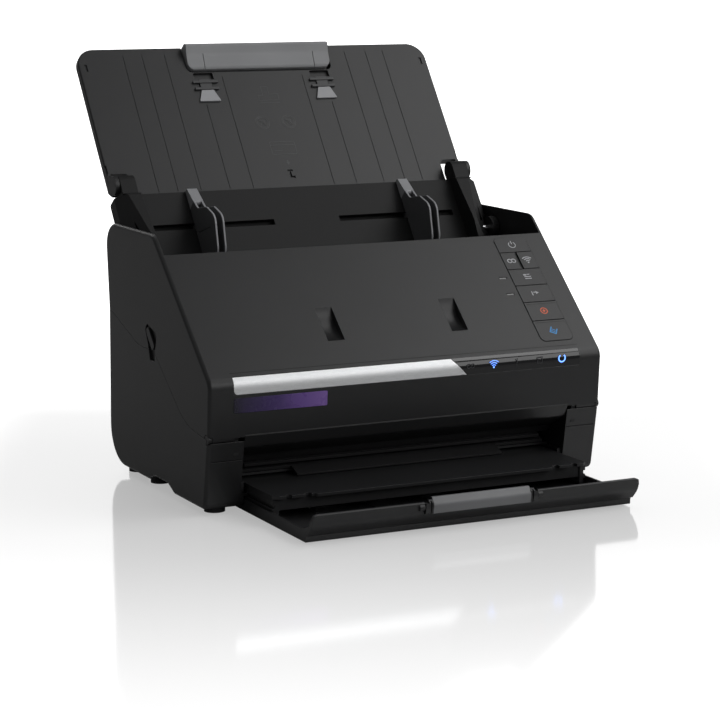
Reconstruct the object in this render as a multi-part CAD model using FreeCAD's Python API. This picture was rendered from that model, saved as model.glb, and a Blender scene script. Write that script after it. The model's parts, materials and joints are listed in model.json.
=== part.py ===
# Sheet-fed photo scanner: a casing in two shells, a feed tray with a folding
# lid, a front cover that opens forward, and an output tray that slides out.
# Millimetres, X to the right, Y to the back, Z up.  While it is modelled, y = 0
# is the front of the two pillars and z = 0 the table; at export the whole part
# is moved so that its origin is the bottom centre of its box.
import FreeCAD, Part
import math
import os

V = FreeCAD.Vector

# Casing
WIDTH = 296.0          # over the side walls
HEIGHT = 176.0         # top of the side walls
WALL = 2.8             # moulded shells
EDGE = 2.4             # rounding along both side faces
GAP = 0.35             # between parts that open against each other
TOE = (8.8, 4.0)       # lower front corner of the pillars
NOSE = (-2.0, 89.0)    # where the slope would meet the front face
SLOPE = 42.1           # slope of the front panel, in degrees
PANEL_TOP_Y = 80.4     # upper edge of the sloping panel
BACK_Y = 186.0         # rear face, at its top
BACK_SEAM = (180.6, 115.0)
COVER_HINGE = (3.7, 52.0)
KNUCKLE_R = 3.1
COVER_PIN_R = 1.25
SWING = 0.6            # around the cover's knuckles, which turn past the pillars
PILLAR = 25.6          # width of each front pillar
FOOT_R = 7.0
HALF = WIDTH / 2
INNER = HALF - WALL
PILLAR_X = HALF - PILLAR
CHEEK_X = PILLAR_X - WALL

# Feed tray, its lid and the edge guides, in the tray's own plane: "along"
# runs up the tray from its upper seam, "up" is off the tray towards the paper
TRAY_SEAM = (181.0, 193.8)
TRAY_LEAN = 53.87
PIVOT = (-47.5, 8.64)      # tray pivot
LID_PIN = (7.5, 1.2)
BED_LOW = -69.0            # lower end of the tray's floor
BED_T = 1.8
TRAY_T = 6.9               # floor, rack space and rear skin together
SKIN_T = 2.0
FLANK_HALF = INNER - 0.9   # tray between the side walls
FLANK = 18.9               # hollow flank at each side of the tray's floor
FLOOR_HALF = FLANK_HALF - FLANK
EAR_X = FLANK_HALF - 5.2   # inner face of the lid's ears
LID_HALF = EAR_X + 3.0
KNUCKLE_X = EAR_X - 12.1   # inner face of the tray's lid knuckles
LID_TOP = 126.3
LID_FACE = -4.35
LID_T = 6.5
LID_SKIN = 1.8
LID_CORNER = 14.0
LID_EDGE = 1.1             # rounding along the lid's three free edges
HANDLE_HALF = 58.0
HANDLE_LOW = 105.0
LID_TRAVEL = 70.0          # extension pulled out
SCORES = (32.6, 51.0, 73.7, 91.5, 106.3)   # paper-size lines, from the middle
PIN_R = 2.0
EAR_R = PIN_R + 5.0        # round ends that hold the lid's pins
PIVOT_R = 2.5
TRAY_SWING = 180.0 - TRAY_LEAN   # tray open to tray closed

GUIDE_INNER = 80.6
GUIDE_T = 7.6
FIN_T = 1.8                # two fins side by side make each guide
FIN_EDGE = 0.5
GUIDE_LOW = -75.0
GUIDE_IN = 53.0            # travel to the narrowest sheet
GUIDE_OUT = 27.0           # travel to the widest sheet
SLOT_AT = (-30.0, -25.4)   # slots for the guides' feet
SLOT_X = (26.0, 120.0)
RACK_MODULE = 1.0
RACK_TEETH = 12            # teeth of the rack pinion
RACK_T = 2.2
RACK_W = 3.6

# Paper path below the tray: distances are measured down the bed
PATH_GAP = 2.4
GUIDE_SHEET = 2.0
BED_START = 78.0
PICKUP_AT = 91.4
FEED_AT = 137.4
SENSOR_AT = 156.5
BEND_AT = 164.4
EXIT_BEND = (52.0, 34.0)
EXIT_END = (24.5, 24.7)
CHUTE_END = 14.0           # front edge of the chute above the output tray
CHUTE_HALF = 78.3
EJECT_BACK = 5.4           # eject roller behind the exit bend
PICKUP_R = 12.0
FEED_R = 8.0
SEPARATION_R = 10.0
IDLER_R = 6.0
IDLER_SHAFT_R = 2.0
SENSOR_HALF = 108.8        # scanning line, for letter-size sheets
PROUD = 0.8                # tyres stand proud of the guide
NIP = 0.3
SHAFT_R = 3.0
RUN = 0.05                 # radial running clearance
BUSH_R = SHAFT_R + 2.5
EJECT_R = SHAFT_R + GUIDE_SHEET + PROUD + 0.2   # its shaft clears the guide sheet
AXLE_R = 2.5
FRAME_X = PILLAR_X - 5.9   # inner face of the steel side frames
FRAME_T = 1.5
COVER_PLATE_X = FRAME_X - 3.7      # inner face of the cover's end plates

# Drive, on the right-hand side frame
MODULE = 1.25
GEAR_W = 5.0
GEAR_X = FRAME_X + FRAME_T + 0.5
MOTOR_AT = (150.0, 60.0)
MOTOR_R = 17.0
MOTOR_L = 32.0
TEETH = {"feed": 20, "pickup": 24, "pickup_idler": 18, "motor": 12,
         "motor_idler": 32, "eject_idler": 38, "eject": 14}

# Output tray
DECK_Z = 20.6              # steel plate above the output tray
DECK_T = 1.6
OUT_TRAVEL = 95.0
OUT_EXTEND = 70.0
OUT_TOP = 19.0
SLIDE_HALF = CHEEK_X - 0.3         # extension, between the cheeks
OUT_HALF = SLIDE_HALF - 1.9
OUT_FRONT = -35.0
OUT_LENGTH = 101.0
STOPPER_HALF = 35.5

# Front panel fittings
STRIP = (80.8, 93.8)       # status strip, bottom and top
STRIP_HALF = HALF - 17.6
KEY_X = (HALF - 42.7, HALF - 17.0)
KEY_ROWS = (3.4, 17.2, 33.1, 48.2, 63.6, 80.4, 98.9)
PLATE_END = 41.0           # right-hand end of the silver plate
KEY_GAP = 0.6
KEY_T = 3.4
KEY_TRAVEL = 0.5
KEYS = ("key_power", "key_mode", "key_link", "key_sheets", "key_feed",
        "key_stop", "key_start")
LEVER_SHAFT = (105.5, 109.0)
LEVER_LOW = (96.6, 98.6)


def wire_points(points, place):
    # Closed wire through the corners, each rounded by its own radius
    corners = [place(p[0], p[1]) for p in points]
    radii = [p[2] if len(p) > 2 else 0.0 for p in points]
    runs = []
    for i, here in enumerate(corners):
        back = (corners[i - 1] - here).normalize()
        ahead = (corners[(i + 1) % len(corners)] - here).normalize()
        if radii[i] <= 0:
            runs.append((here, None, here))
            continue
        half = back.getAngle(ahead) / 2
        reach = radii[i] / math.tan(half)
        middle = (back + ahead).normalize() * (radii[i] / math.sin(half) - radii[i])
        runs.append((here + back * reach, here + middle, here + ahead * reach))
    edges = []
    for i, (start, middle, end) in enumerate(runs):
        if middle is not None:
            edges.append(Part.Arc(start, middle, end).toShape())
        following = runs[(i + 1) % len(runs)][0]
        if end.distanceToPoint(following) > 1e-5:
            edges.append(Part.LineSegment(end, following).toShape())
    return Part.Wire(edges)


def prism(axis, points, low, high):
    # Outline drawn square to an axis and pushed from low to high along it
    place = {"x": lambda p, q: V(low, p, q),
             "y": lambda p, q: V(p, low, q),
             "z": lambda p, q: V(p, q, low)}[axis]
    along = {"x": V(1, 0, 0), "y": V(0, 1, 0), "z": V(0, 0, 1)}[axis]
    return Part.Face(wire_points(points, place)).extrude(along * (high - low))


def box(x0, x1, y0, y1, z0, z1):
    return Part.makeBox(x1 - x0, y1 - y0, z1 - z0, V(x0, y0, z0))


def rod(point, radius, x0, x1):
    # Round bar along X through a (y, z) point
    return Part.makeCylinder(radius, x1 - x0, V(x0, point[0], point[1]), V(1, 0, 0))


def mirrored(shape):
    return shape.mirror(V(0, 0, 0), V(1, 0, 0))


def both_sides(shape):
    return [shape, mirrored(shape)]


def join(*shapes):
    return shapes[0].fuse(list(shapes[1:])).removeSplitter()


def less(shape, *tools):
    return shape.cut(list(tools))


def bed_point(along, up=0.0):
    # (y, z) of a point given in the tray's plane
    lean = math.radians(TRAY_LEAN)
    return (TRAY_SEAM[0] + along * math.cos(lean) - up * math.sin(lean),
            TRAY_SEAM[1] + along * math.sin(lean) + up * math.cos(lean))


def on_tray(shape):
    moved = shape.copy()
    moved.Placement = FreeCAD.Placement(V(0, *TRAY_SEAM),
                                        FreeCAD.Rotation(V(1, 0, 0), TRAY_LEAN))
    return moved


def slope_z(y):
    return NOSE[1] + (y - NOSE[0]) * math.tan(math.radians(SLOPE))


def on_slope(shape):
    # Drawn flat with y = 0 at the panel's upper edge, laid on the slope
    moved = shape.copy()
    moved.Placement = FreeCAD.Placement(V(0, PANEL_TOP_Y, slope_z(PANEL_TOP_Y)),
                                        FreeCAD.Rotation(V(1, 0, 0), SLOPE))
    return moved


def offset_line(points, distance):
    # Copy of an open line of (y, z, radius) points, moved to its left
    result = []
    for i, point in enumerate(points):
        before = points[max(i - 1, 0)]
        after = points[min(i + 1, len(points) - 1)]
        first = V(point[0] - before[0], point[1] - before[1], 0)
        second = V(after[0] - point[0], after[1] - point[1], 0)
        first = first if first.Length > 0 else second
        second = second if second.Length > 0 else first
        first, second = first.normalize(), second.normalize()
        left = V(-first.y - second.y, first.x + second.x, 0).normalize()
        reach = distance / left.dot(V(-first.y, first.x, 0))
        turn = first.x * second.y - first.y * second.x
        radius = point[2] if len(point) > 2 else 0.0
        if radius:
            radius = max(radius - math.copysign(distance, turn * distance) * abs(distance)
                         / max(abs(distance), 1e-9), 0.5)
        result.append((point[0] + left.x * reach, point[1] + left.y * reach, radius))
    return result


def sheet_outline(points, thickness):
    # Closed outline of a bent sheet whose one face is the line
    return list(points) + list(reversed(offset_line(points, thickness)))


def meeting(first, second, reach_first, reach_second, side):
    # Point at given distances from two others, on the chosen side
    line = V(second[0] - first[0], second[1] - first[1], 0)
    gap = line.Length
    along = (reach_first ** 2 - reach_second ** 2 + gap ** 2) / (2 * gap)
    off = math.sqrt(max(reach_first ** 2 - along ** 2, 0.0)) * side
    unit = V(line.x / gap, line.y / gap, 0)
    return (first[0] + unit.x * along - unit.y * off,
            first[1] + unit.y * along + unit.x * off)


def tooth_points(teeth, module, phase):
    # Gear outline of straight-sided teeth, thinned for running backlash
    radius = module * teeth / 2
    tip, root = radius + 0.85 * module, radius - 1.15 * module
    half_tip, half_root = 0.10 * 2 * math.pi / teeth, 0.30 * 2 * math.pi / teeth
    points = []
    for i in range(teeth):
        centre = phase + 2 * math.pi * i / teeth
        for r, offset in ((root, -half_root), (tip, -half_tip), (tip, half_tip), (root, half_root)):
            points.append((r * math.cos(centre + offset), r * math.sin(centre + offset)))
    return points


def gear(centre, teeth, phase, x0, x1, bore):
    # Spur gear square to X; its square bore sits on the shaft's squared end
    points = [(centre[0] + p, centre[1] + q) for p, q in tooth_points(teeth, MODULE, phase)]
    wheel = prism("x", points, x0, x1)
    return less(wheel, box(x0, x1, centre[0] - bore, centre[0] + bore,
                           centre[1] - bore, centre[1] + bore))


def mesh_phase(first, teeth_first, phase_first, second, teeth_second):
    # Phase that puts a gap of the second gear on a tooth of the first
    angle = math.atan2(second[1] - first[1], second[0] - first[0])
    turned = (angle - phase_first) * teeth_first / (2 * math.pi)
    return angle + math.pi - (2 * math.pi / teeth_second) * (0.5 - turned)


# Places that follow from the sizes above
RIDGE_Y = NOSE[0] + (HEIGHT - NOSE[1]) / math.tan(math.radians(SLOPE))
PIVOT_YZ = bed_point(*PIVOT)
LID_PIN_YZ = bed_point(*LID_PIN)
PATH = [bed_point(-BED_START) + (0.0,), bed_point(-BEND_AT) + (30.0,),
        EXIT_BEND + (24.0,), EXIT_END + (0.0,)]
UPPER_PATH = offset_line(PATH, -PATH_GAP)
PICKUP_YZ = bed_point(-PICKUP_AT, PROUD - PICKUP_R)
SEPARATION_YZ = bed_point(-PICKUP_AT, PROUD + NIP + SEPARATION_R)
FEED_YZ = bed_point(-FEED_AT, PROUD - FEED_R)
FEED_IDLER_YZ = bed_point(-FEED_AT, PROUD + NIP + IDLER_R)


def exit_point(back, up=0.0):
    # Point beside the stretch of path between its two bends
    low, high = V(*PATH[2][:2], 0), V(*PATH[1][:2], 0)
    run = (high - low).normalize()
    at = low + run * back + V(-run.y, run.x, 0) * up
    return (at.x, at.y)


EJECT_YZ = exit_point(EJECT_BACK, PROUD - EJECT_R)
EJECT_IDLER_YZ = exit_point(EJECT_BACK, PROUD + NIP + IDLER_R)


def gear_places():
    pitch = {name: MODULE * teeth / 2 for name, teeth in TEETH.items()}
    place = {"feed": FEED_YZ, "pickup": PICKUP_YZ, "eject": EJECT_YZ, "motor": MOTOR_AT}
    chains = (("feed", "pickup_idler", "pickup", -1), ("feed", "motor_idler", "motor", -1),
              ("feed", "eject_idler", "eject", -1))
    phase = {"feed": 0.0}
    for first, idler, last, side in chains:
        place[idler] = meeting(place[first], place[last], pitch[first] + pitch[idler],
                               pitch[last] + pitch[idler], side)
        phase[idler] = mesh_phase(place[first], TEETH[first], phase[first],
                                  place[idler], TEETH[idler])
        phase[last] = mesh_phase(place[idler], TEETH[idler], phase[idler],
                                 place[last], TEETH[last])
    return place, phase


GEAR_YZ, GEAR_PHASE = gear_places()


def side_outline():
    return [(TOE[0], TOE[1], 5.0), (62.0, TOE[1], 3.0), (74.0, 9.0, 3.0), (98.0, 9.0, 3.0),
            (108.0, 5.0, 3.0), (183.0, 5.0, 27.0), (BACK_SEAM[0], BACK_SEAM[1], 20.0),
            (BACK_Y, HEIGHT, 17.0), (RIDGE_Y, HEIGHT, 12.0), (NOSE[0], NOSE[1], 10.0),
            (0.5, COVER_HINGE[1], 4.0)]


def seam_outline(shift):
    # Everything above the parting line between the two shells
    return [(-30.0, COVER_HINGE[1] + shift), (COVER_HINGE[0], COVER_HINGE[1] + shift),
            (40.0, 56.0 + shift, 60.0), (96.0, 98.0 + shift, 6.0), (120.0, 95.5 + shift, 60.0),
            (BACK_SEAM[0] + 4.0, BACK_SEAM[1] + 2.0 + shift), (230.0, BACK_SEAM[1] + 2.0 + shift),
            (230.0, HEIGHT + 30.0), (-30.0, HEIGHT + 30.0)]


def casing_solid():
    solid = prism("x", side_outline(), -HALF, HALF)
    ends = [edge for edge in solid.Edges
            if edge.BoundBox.XLength < 1e-6 and abs(abs(edge.BoundBox.XMin) - HALF) < 1e-6]
    return solid.makeFillet(EDGE, ends)


def casing_core():
    wire = wire_points(side_outline(), lambda p, q: V(-INNER, p, q))
    inner = wire.makeOffset2D(-WALL)
    return Part.Face(inner).extrude(V(2 * INNER, 0, 0))


CASING = casing_solid()
CORE = casing_core()


def band(depth, x0, x1):
    # Casing outline drawn in by a depth
    wire = wire_points(side_outline(), lambda p, q: V(x0, p, q)).makeOffset2D(-depth)
    return Part.Face(wire).extrude(V(x1 - x0, 0, 0))


def make_base():
    solid = less(CASING, CORE, prism("x", seam_outline(-GAP / 2), -HALF - 1, HALF + 1))
    solid = less(solid, box(-PILLAR_X, PILLAR_X, -30, BAY_BACK + WALL, -1, 60))
    added = []
    for side in (1, -1):
        parts = [CASING.common(box(PILLAR_X, PILLAR_X + WALL, -30, 34, 0, 48.5)),
                 box(CHEEK_X, PILLAR_X, 9, BAY_BACK + WALL, 4.0, DECK_Z).common(CASING),
                 box(CHEEK_X - 3.4, CHEEK_X, 9, 118, 11, 13),
                 box(INNER - 8.2, INNER + 0.2, 107.5, 112, 86, 89)]
        added += [part if side > 0 else mirrored(part) for part in parts]
    rear = box(-PILLAR_X, PILLAR_X, BAY_BACK, BAY_BACK + WALL, 4, DECK_Z).common(CASING)
    bridge = box(-PILLAR_X, PILLAR_X, BAY_BACK, BACK_SEAM[0], 14, 16.5).common(CASING)
    solid = join(solid, *added, rear, bridge)
    swing = rod(COVER_HINGE, KNUCKLE_R + SWING, PILLAR_X - 1, INNER)
    corner = rod(COVER_HINGE, KNUCKLE_R + SWING, INNER, HALF + 1).common(
        box(INNER, HALF + 1, -5, COVER_HINGE[0], 40, 60))
    solid = less(solid, *both_sides(swing), *both_sides(corner), lever_pocket())
    lugs = []
    for side in (1, -1):
        ear = rod(COVER_HINGE, KNUCKLE_R, INNER, HALF - 0.2)
        lug = rod(COVER_HINGE, 2.2, *LUG_X).fuse(
            box(LUG_X[0], LUG_X[1], COVER_HINGE[0] - 1.5, COVER_HINGE[0] + 1.5, 40, COVER_HINGE[1] - 1.5))
        lugs += [ear if side > 0 else mirrored(ear), lug if side > 0 else mirrored(lug)]
    solid = join(solid, *lugs)
    tools = both_sides(rod(COVER_HINGE, COVER_PIN_R, PILLAR_X - 10, HALF - 0.8))
    tools += [box(x - w / 2, x + w / 2, 170, 190, z - h / 2, z + h / 2) for x, z, w, h in SOCKETS]
    tools += both_sides(box(PILLAR_X + 0.4, INNER - 0.4, -6, 6.4, 36.5, 37.1)
                        .cut(prism("x", front_inset(0.5), PILLAR_X, HALF)))
    return less(solid, *tools)


def front_inset(depth):
    # Region behind the pillars' front face, set in by a depth
    return [(0.5 + depth, 60), (TOE[0] + depth, 0), (60, 0), (60, 60)]


def make_rear_housing():
    shell = less(CASING, CORE).common(box(-INNER + 0.4, INNER - 0.4, LIP_Y, 200, 117.6, 200))
    tongue = box(-INNER + 7.2, INNER - 7.2, 176.4, 177.8, 106, 122)
    link = box(-INNER + 7.2, INNER - 7.2, 176.4, 182.5, 118, 120)
    cheeks = []
    for side in (1, -1):
        plate = prism("x", [(PIVOT_YZ[0] - 8, 151), (152, 128, 6), (177.8, 128),
                            (182.6, 140), (182.6, 156.5), (154, 156.5)], CHEEK_IN, INNER - 0.6)
        plate = plate.fuse(rod(PIVOT_YZ, 8.5, CHEEK_IN, INNER - 0.6))
        plate = plate.cut(rod(PIVOT_YZ, PIVOT_R, CHEEK_IN - 5, INNER))
        cheeks.append(plate if side > 0 else mirrored(plate))
    return join(shell, tongue, link, *cheeks)


def make_cover():
    solid = less(CASING, CORE).common(prism("x", seam_outline(GAP / 2), -HALF - 1, HALF + 1))
    edge = (PANEL_TOP_Y, slope_z(PANEL_TOP_Y))
    lean = math.radians(SLOPE)
    mouth = [edge, (edge[0] + 6 * math.sin(lean), edge[1] - 6 * math.cos(lean)),
             (edge[0] + 6 * math.sin(lean), 60), (240, 60), (240, 240),
             (edge[0] - 80 * math.sin(lean), edge[1] + 80 * math.cos(lean))]
    solid = less(solid, prism("x", mouth, -INNER, INNER))
    recess = sheet_outline(RECESS, -2.0)
    skirt = prism("x", recess, -PILLAR_X + 0.4, PILLAR_X - 0.4)
    beads = both_sides(rod(COVER_HINGE, KNUCKLE_R, LUG_X[1] + 0.3, INNER - 0.4))
    webs = both_sides(box(LUG_X[1] + 0.3, INNER - 0.4, 2.2, 5.4, 52.5, 56.5))
    solid = join(solid, skirt, *beads, *webs)
    tools = both_sides(rod(COVER_HINGE, KNUCKLE_R + GAP, INNER - 0.3, HALF + 1))
    tools += both_sides(rod(COVER_HINGE, 2.5, LUG_X[0] - 0.3, LUG_X[1] + 0.3))
    tools += both_sides(rod(COVER_HINGE, COVER_PIN_R + RUN, PILLAR_X - 12, HALF - 2))
    x0, x1, top, low = KEY_X[0] - 0.3, KEY_X[1] + 0.3, -KEY_ROWS[0] + 0.3, -KEY_ROWS[-1] + 0.3
    tools.append(on_slope(prism("z", [(x0, top, 3.3), (x0, low, 4.3), (x1, low, 4.3), (x1, top, 3.3)], -6, 3)))
    for s in LIGHT_ROWS:
        tools.append(on_slope(box(LIGHT_X - 3.0, LIGHT_X + 3.0, -s - 0.9, -s + 0.9, -6, 3)))
    tools.append(box(-STRIP_HALF, STRIP_HALF, -10, 1.6, STRIP[0], STRIP[1]))
    tools += both_sides(scoop(0.0))
    tools.append(lever_pocket())
    tools.append(rod(LEVER_SHAFT, SHAFT_R + RUN, -HALF - 1, -INNER + 1))
    bosses = [on_slope(Part.makeCylinder(2.5, 5.4, V(x, -s, -8.0)))
              for x in (LIGHT_X + 2.0, KEY_X[1] + 5.0) for s in (9.0, 92.0)]
    bulges = both_sides(scoop(WALL - 0.4).common(prism("x", front_half_space(), -HALF, HALF)))
    shell = less(join(solid, *bulges), *tools)
    carriers = [rod(LEVER_SHAFT, 5.5, -INNER - 0.4, -INNER + 3.0).cut(
                    rod(LEVER_SHAFT, SHAFT_R + RUN, -HALF, -PILLAR_X)),
                rod(LEVER_SHAFT, 5.5, INNER - 3.0, INNER + 0.4).cut(
                    rod(LEVER_SHAFT, SHAFT_R + RUN, PILLAR_X, INNER - 0.2))]
    return join(shell, *bosses, *carriers)


def scoop(grown):
    # Round-bottomed finger hollow across the slope; grown, it is the bulge behind it
    length, depth = SCOOP_S[1] - SCOOP_S[0], SCOOP_DEPTH
    radius = (length ** 2 / 4 + depth ** 2) / (2 * depth)
    middle = V(SCOOP_X[0] - grown, -(SCOOP_S[0] + SCOOP_S[1]) / 2, radius - depth)
    return on_slope(Part.makeCylinder(radius + grown, SCOOP_X[1] - SCOOP_X[0] + 2 * grown, middle, V(1, 0, 0)))


def front_half_space():
    # Everything behind the panel's outer face
    low = (NOSE[0], NOSE[1] - 0.5)
    high = (PANEL_TOP_Y, slope_z(PANEL_TOP_Y) - 0.5)
    return [low, high, (high[0] + 60, high[1] - 60), (low[0] + 60, low[1] - 20)]


def lever_pocket():
    # Shallow pocket in the left wall, wide enough for the lever to swing
    fan = [(LEVER_SHAFT[0] + 4.6, LEVER_SHAFT[1] + 1, 3), (LEVER_SHAFT[0] + 1, LEVER_SHAFT[1] + 5, 3),
           (LEVER_SHAFT[0] - 17.5, LEVER_SHAFT[1] + 0.0, 3), (LEVER_LOW[0] - 4.8, LEVER_LOW[1] - 1, 2),
           (LEVER_LOW[0] - 3.6, LEVER_LOW[1] - 9), (LEVER_LOW[0] + 5, LEVER_LOW[1] - 9),
           (LEVER_LOW[0] + 8.2, LEVER_LOW[1] + 1, 3)]
    return prism("x", fan, -HALF - 1, -HALF + 1.8)


def make_latch():
    lever = prism("x", [(LEVER_SHAFT[0] + 3.2, LEVER_SHAFT[1] - 0.6, 2.4),
                        (LEVER_SHAFT[0] - 0.4, LEVER_SHAFT[1] + 3.6, 2.4),
                        (LEVER_LOW[0] - 3.0, LEVER_LOW[1] + 1.4, 1.5),
                        (LEVER_LOW[0] + 1.0, LEVER_LOW[1] - 2.2, 1.5)], -HALF, -HALF + 1.5)
    shaft = rod(LEVER_SHAFT, SHAFT_R, -HALF + 1.0, INNER - 0.3)
    hooks = []
    for side in (1, -1):
        outline = [(LEVER_SHAFT[0] - 5, LEVER_SHAFT[1] + 1, 3), (LEVER_SHAFT[0] + 5, LEVER_SHAFT[1] + 1, 3),
                   (106.2, 92), (106.2, 85.8), (107.0, 85.0), (106.4, 82.4), (101, 82.4, 2)]
        plate = prism("x", outline, INNER - 7.2, INNER - 3.7)
        hooks.append(plate if side > 0 else mirrored(plate))
    return join(lever, shaft, *hooks)


def make_inner_guide():
    line = INNER_LINE
    sheet = prism("x", sheet_outline(line, -GUIDE_SHEET), -COVER_PLATE_X, COVER_PLATE_X)
    mouth = prism("x", sheet_outline([line[0][:2] + (0,), line[1][:2] + (0,)], -GUIDE_SHEET), -MOUTH_HALF, MOUTH_HALF)
    ends = []
    for side in (1, -1):
        plate = prism("x", sheet_outline(line, -15.0), COVER_PLATE_X, COVER_PLATE_X + 1.5)
        ends.append(plate if side > 0 else mirrored(plate))
    solid = join(sheet, mouth, *ends)
    tools = both_sides(box(COVER_PLATE_X, FRAME_X, 0, 34, 0, 60))
    tools += both_sides(box(COVER_PLATE_X, FRAME_X, 60, 90, 142, 170).cut(
        prism("x", [line[0][:2], line[1][:2], (120, 120), (120, 200), (90, 200)], COVER_PLATE_X, FRAME_X)))
    tools += [rod(SEPARATION_YZ, SEPARATION_R + 1.2, -21.5, 21.5),
              rod(SEPARATION_YZ, SHAFT_R + RUN, -FRAME_X, FRAME_X),
              rod(FEED_IDLER_YZ, IDLER_SHAFT_R + RUN, -FRAME_X, FRAME_X),
              rod(EJECT_IDLER_YZ, IDLER_SHAFT_R + RUN, -FRAME_X, FRAME_X),
              rod(LEVER_SHAFT, SHAFT_R + 0.3, -INNER, INNER),
              on_path_box(SENSOR_AT, 5.6, -1, 18, SENSOR_HALF + 0.2)]
    for x in TYRES:
        tools.append(rod(FEED_IDLER_YZ, IDLER_R + 0.9, x - 8.2, x + 8.2))
        tools.append(rod(EJECT_IDLER_YZ, IDLER_R + 0.9, x - 8.2, x + 8.2))
    return less(solid, *tools)


def on_path_box(at, half, low, high, half_width):
    return on_tray(box(-half_width, half_width, -at - half, -at + half, low, high))


def make_lower_guide():
    sheet = prism("x", sheet_outline(PATH, GUIDE_SHEET), -FRAME_X, FRAME_X)
    tools = [rod(PICKUP_YZ, PICKUP_R + 1.2, -21.5, 21.5), on_path_box(SENSOR_AT, 5.6, -18, 1, SENSOR_HALF + 0.2)]
    for x in TYRES:
        tools.append(rod(FEED_YZ, FEED_R + 1.0, x - 8.6, x + 8.6))
        tools.append(rod(EJECT_YZ, EJECT_R + 1.0, x - 8.6, x + 8.6))
    chute = prism("x", sheet_outline([PATH[-1][:2], (CHUTE_END, OUT_TOP + 1.6)], 1.2), -CHUTE_HALF, CHUTE_HALF)
    return join(less(sheet, *tools), chute)


def roller(centre, radius, tyres, width, shaft=SHAFT_R, reach=None):
    # Shaft with rubber tyres, and a squared end where a gear sits
    parts = [rod(centre, shaft, -FRAME_X - FRAME_T - 0.4, FRAME_X + FRAME_T + 0.4)]
    parts += [rod(centre, radius, x - width / 2, x + width / 2) for x in tyres]
    if reach:
        parts.append(box(FRAME_X + FRAME_T + 0.4, reach, centre[0] - 2, centre[0] + 2,
                         centre[1] - 2, centre[1] + 2))
    return join(*parts)


def idlers(centre, radius, tyres, width, shaft):
    parts = [rod(centre, shaft, -COVER_PLATE_X - 1.4, COVER_PLATE_X + 1.4)]
    parts += [rod(centre, radius, x - width / 2, x + width / 2) for x in tyres]
    return join(*parts)


def make_frame(side):
    outline = [(47, DECK_Z + DECK_T), (172, DECK_Z + DECK_T), (172, 84, 6), (152, 112, 6),
               (145, 123, 4), (127, 123, 6), (92, 92, 8), (47, 50, 6)]
    plate = prism("x", outline, FRAME_X, FRAME_X + FRAME_T)
    holes = [rod(c, BUSH_R, FRAME_X - 1, CHEEK_X) for c in (PICKUP_YZ, FEED_YZ, EJECT_YZ)]
    if side > 0:
        holes += [rod(GEAR_YZ[n], AXLE_R + RUN, FRAME_X - 1, CHEEK_X) for n in IDLERS]
        holes.append(rod(MOTOR_AT, 4.0, FRAME_X - 1, CHEEK_X))
    else:
        plate = mirrored(plate)
        holes = [mirrored(hole) for hole in holes]
    return less(plate, *holes)


def make_bushes():
    rings = []
    for centre in (PICKUP_YZ, FEED_YZ, EJECT_YZ):
        for side in (1, -1):
            ring = rod(centre, BUSH_R, FRAME_X, FRAME_X + FRAME_T + 0.3).cut(
                rod(centre, SHAFT_R + RUN, FRAME_X - 1, CHEEK_X))
            rings.append(ring if side > 0 else mirrored(ring))
    return Part.makeCompound(rings)


def make_deck():
    plate = box(-PILLAR_X + 0.6, PILLAR_X - 0.6, 26, DECK_BACK, DECK_Z, DECK_Z + DECK_T)
    return plate


def make_feet():
    pads = []
    for x in (-FOOT_X, FOOT_X):
        for y, top in FEET:
            pads.append(Part.makeCylinder(FOOT_R, top, V(x, y, 0)))
    return Part.makeCompound(pads)


def make_motor():
    body = rod(MOTOR_AT, MOTOR_R, FRAME_X - MOTOR_L, FRAME_X)
    boss = rod(MOTOR_AT, 3.9, FRAME_X, FRAME_X + 1.4)
    cap = rod(MOTOR_AT, 5.0, FRAME_X - MOTOR_L - 2.5, FRAME_X - MOTOR_L)
    return less(join(body, boss, cap), rod(MOTOR_AT, 1.55, FRAME_X - 8, FRAME_X + 2))


def make_motor_shaft():
    shaft = rod(MOTOR_AT, 1.5, FRAME_X - 7.9, GEAR_X)
    return join(shaft, box(GEAR_X, GEAR_X + GEAR_W, MOTOR_AT[0] - 1, MOTOR_AT[0] + 1,
                           MOTOR_AT[1] - 1, MOTOR_AT[1] + 1))


def make_axle(name):
    centre = GEAR_YZ[name]
    axle = rod(centre, AXLE_R, FRAME_X - 1.6, FRAME_X + FRAME_T + 0.4)
    head = rod(centre, 4.5, FRAME_X - 1.6, FRAME_X - 0.3)
    end = box(FRAME_X + FRAME_T + 0.4, GEAR_X + GEAR_W, centre[0] - 1.6, centre[0] + 1.6,
              centre[1] - 1.6, centre[1] + 1.6)
    return join(axle, head, end)


def make_board():
    board = box(-90, 84, 170.2, 171.8, DECK_Z + DECK_T, 98)
    parts = [box(x, x + w, 171.8, 171.8 + d, z, z + h) for x, z, w, h, d in CHIPS]
    return join(board, *parts)


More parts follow.
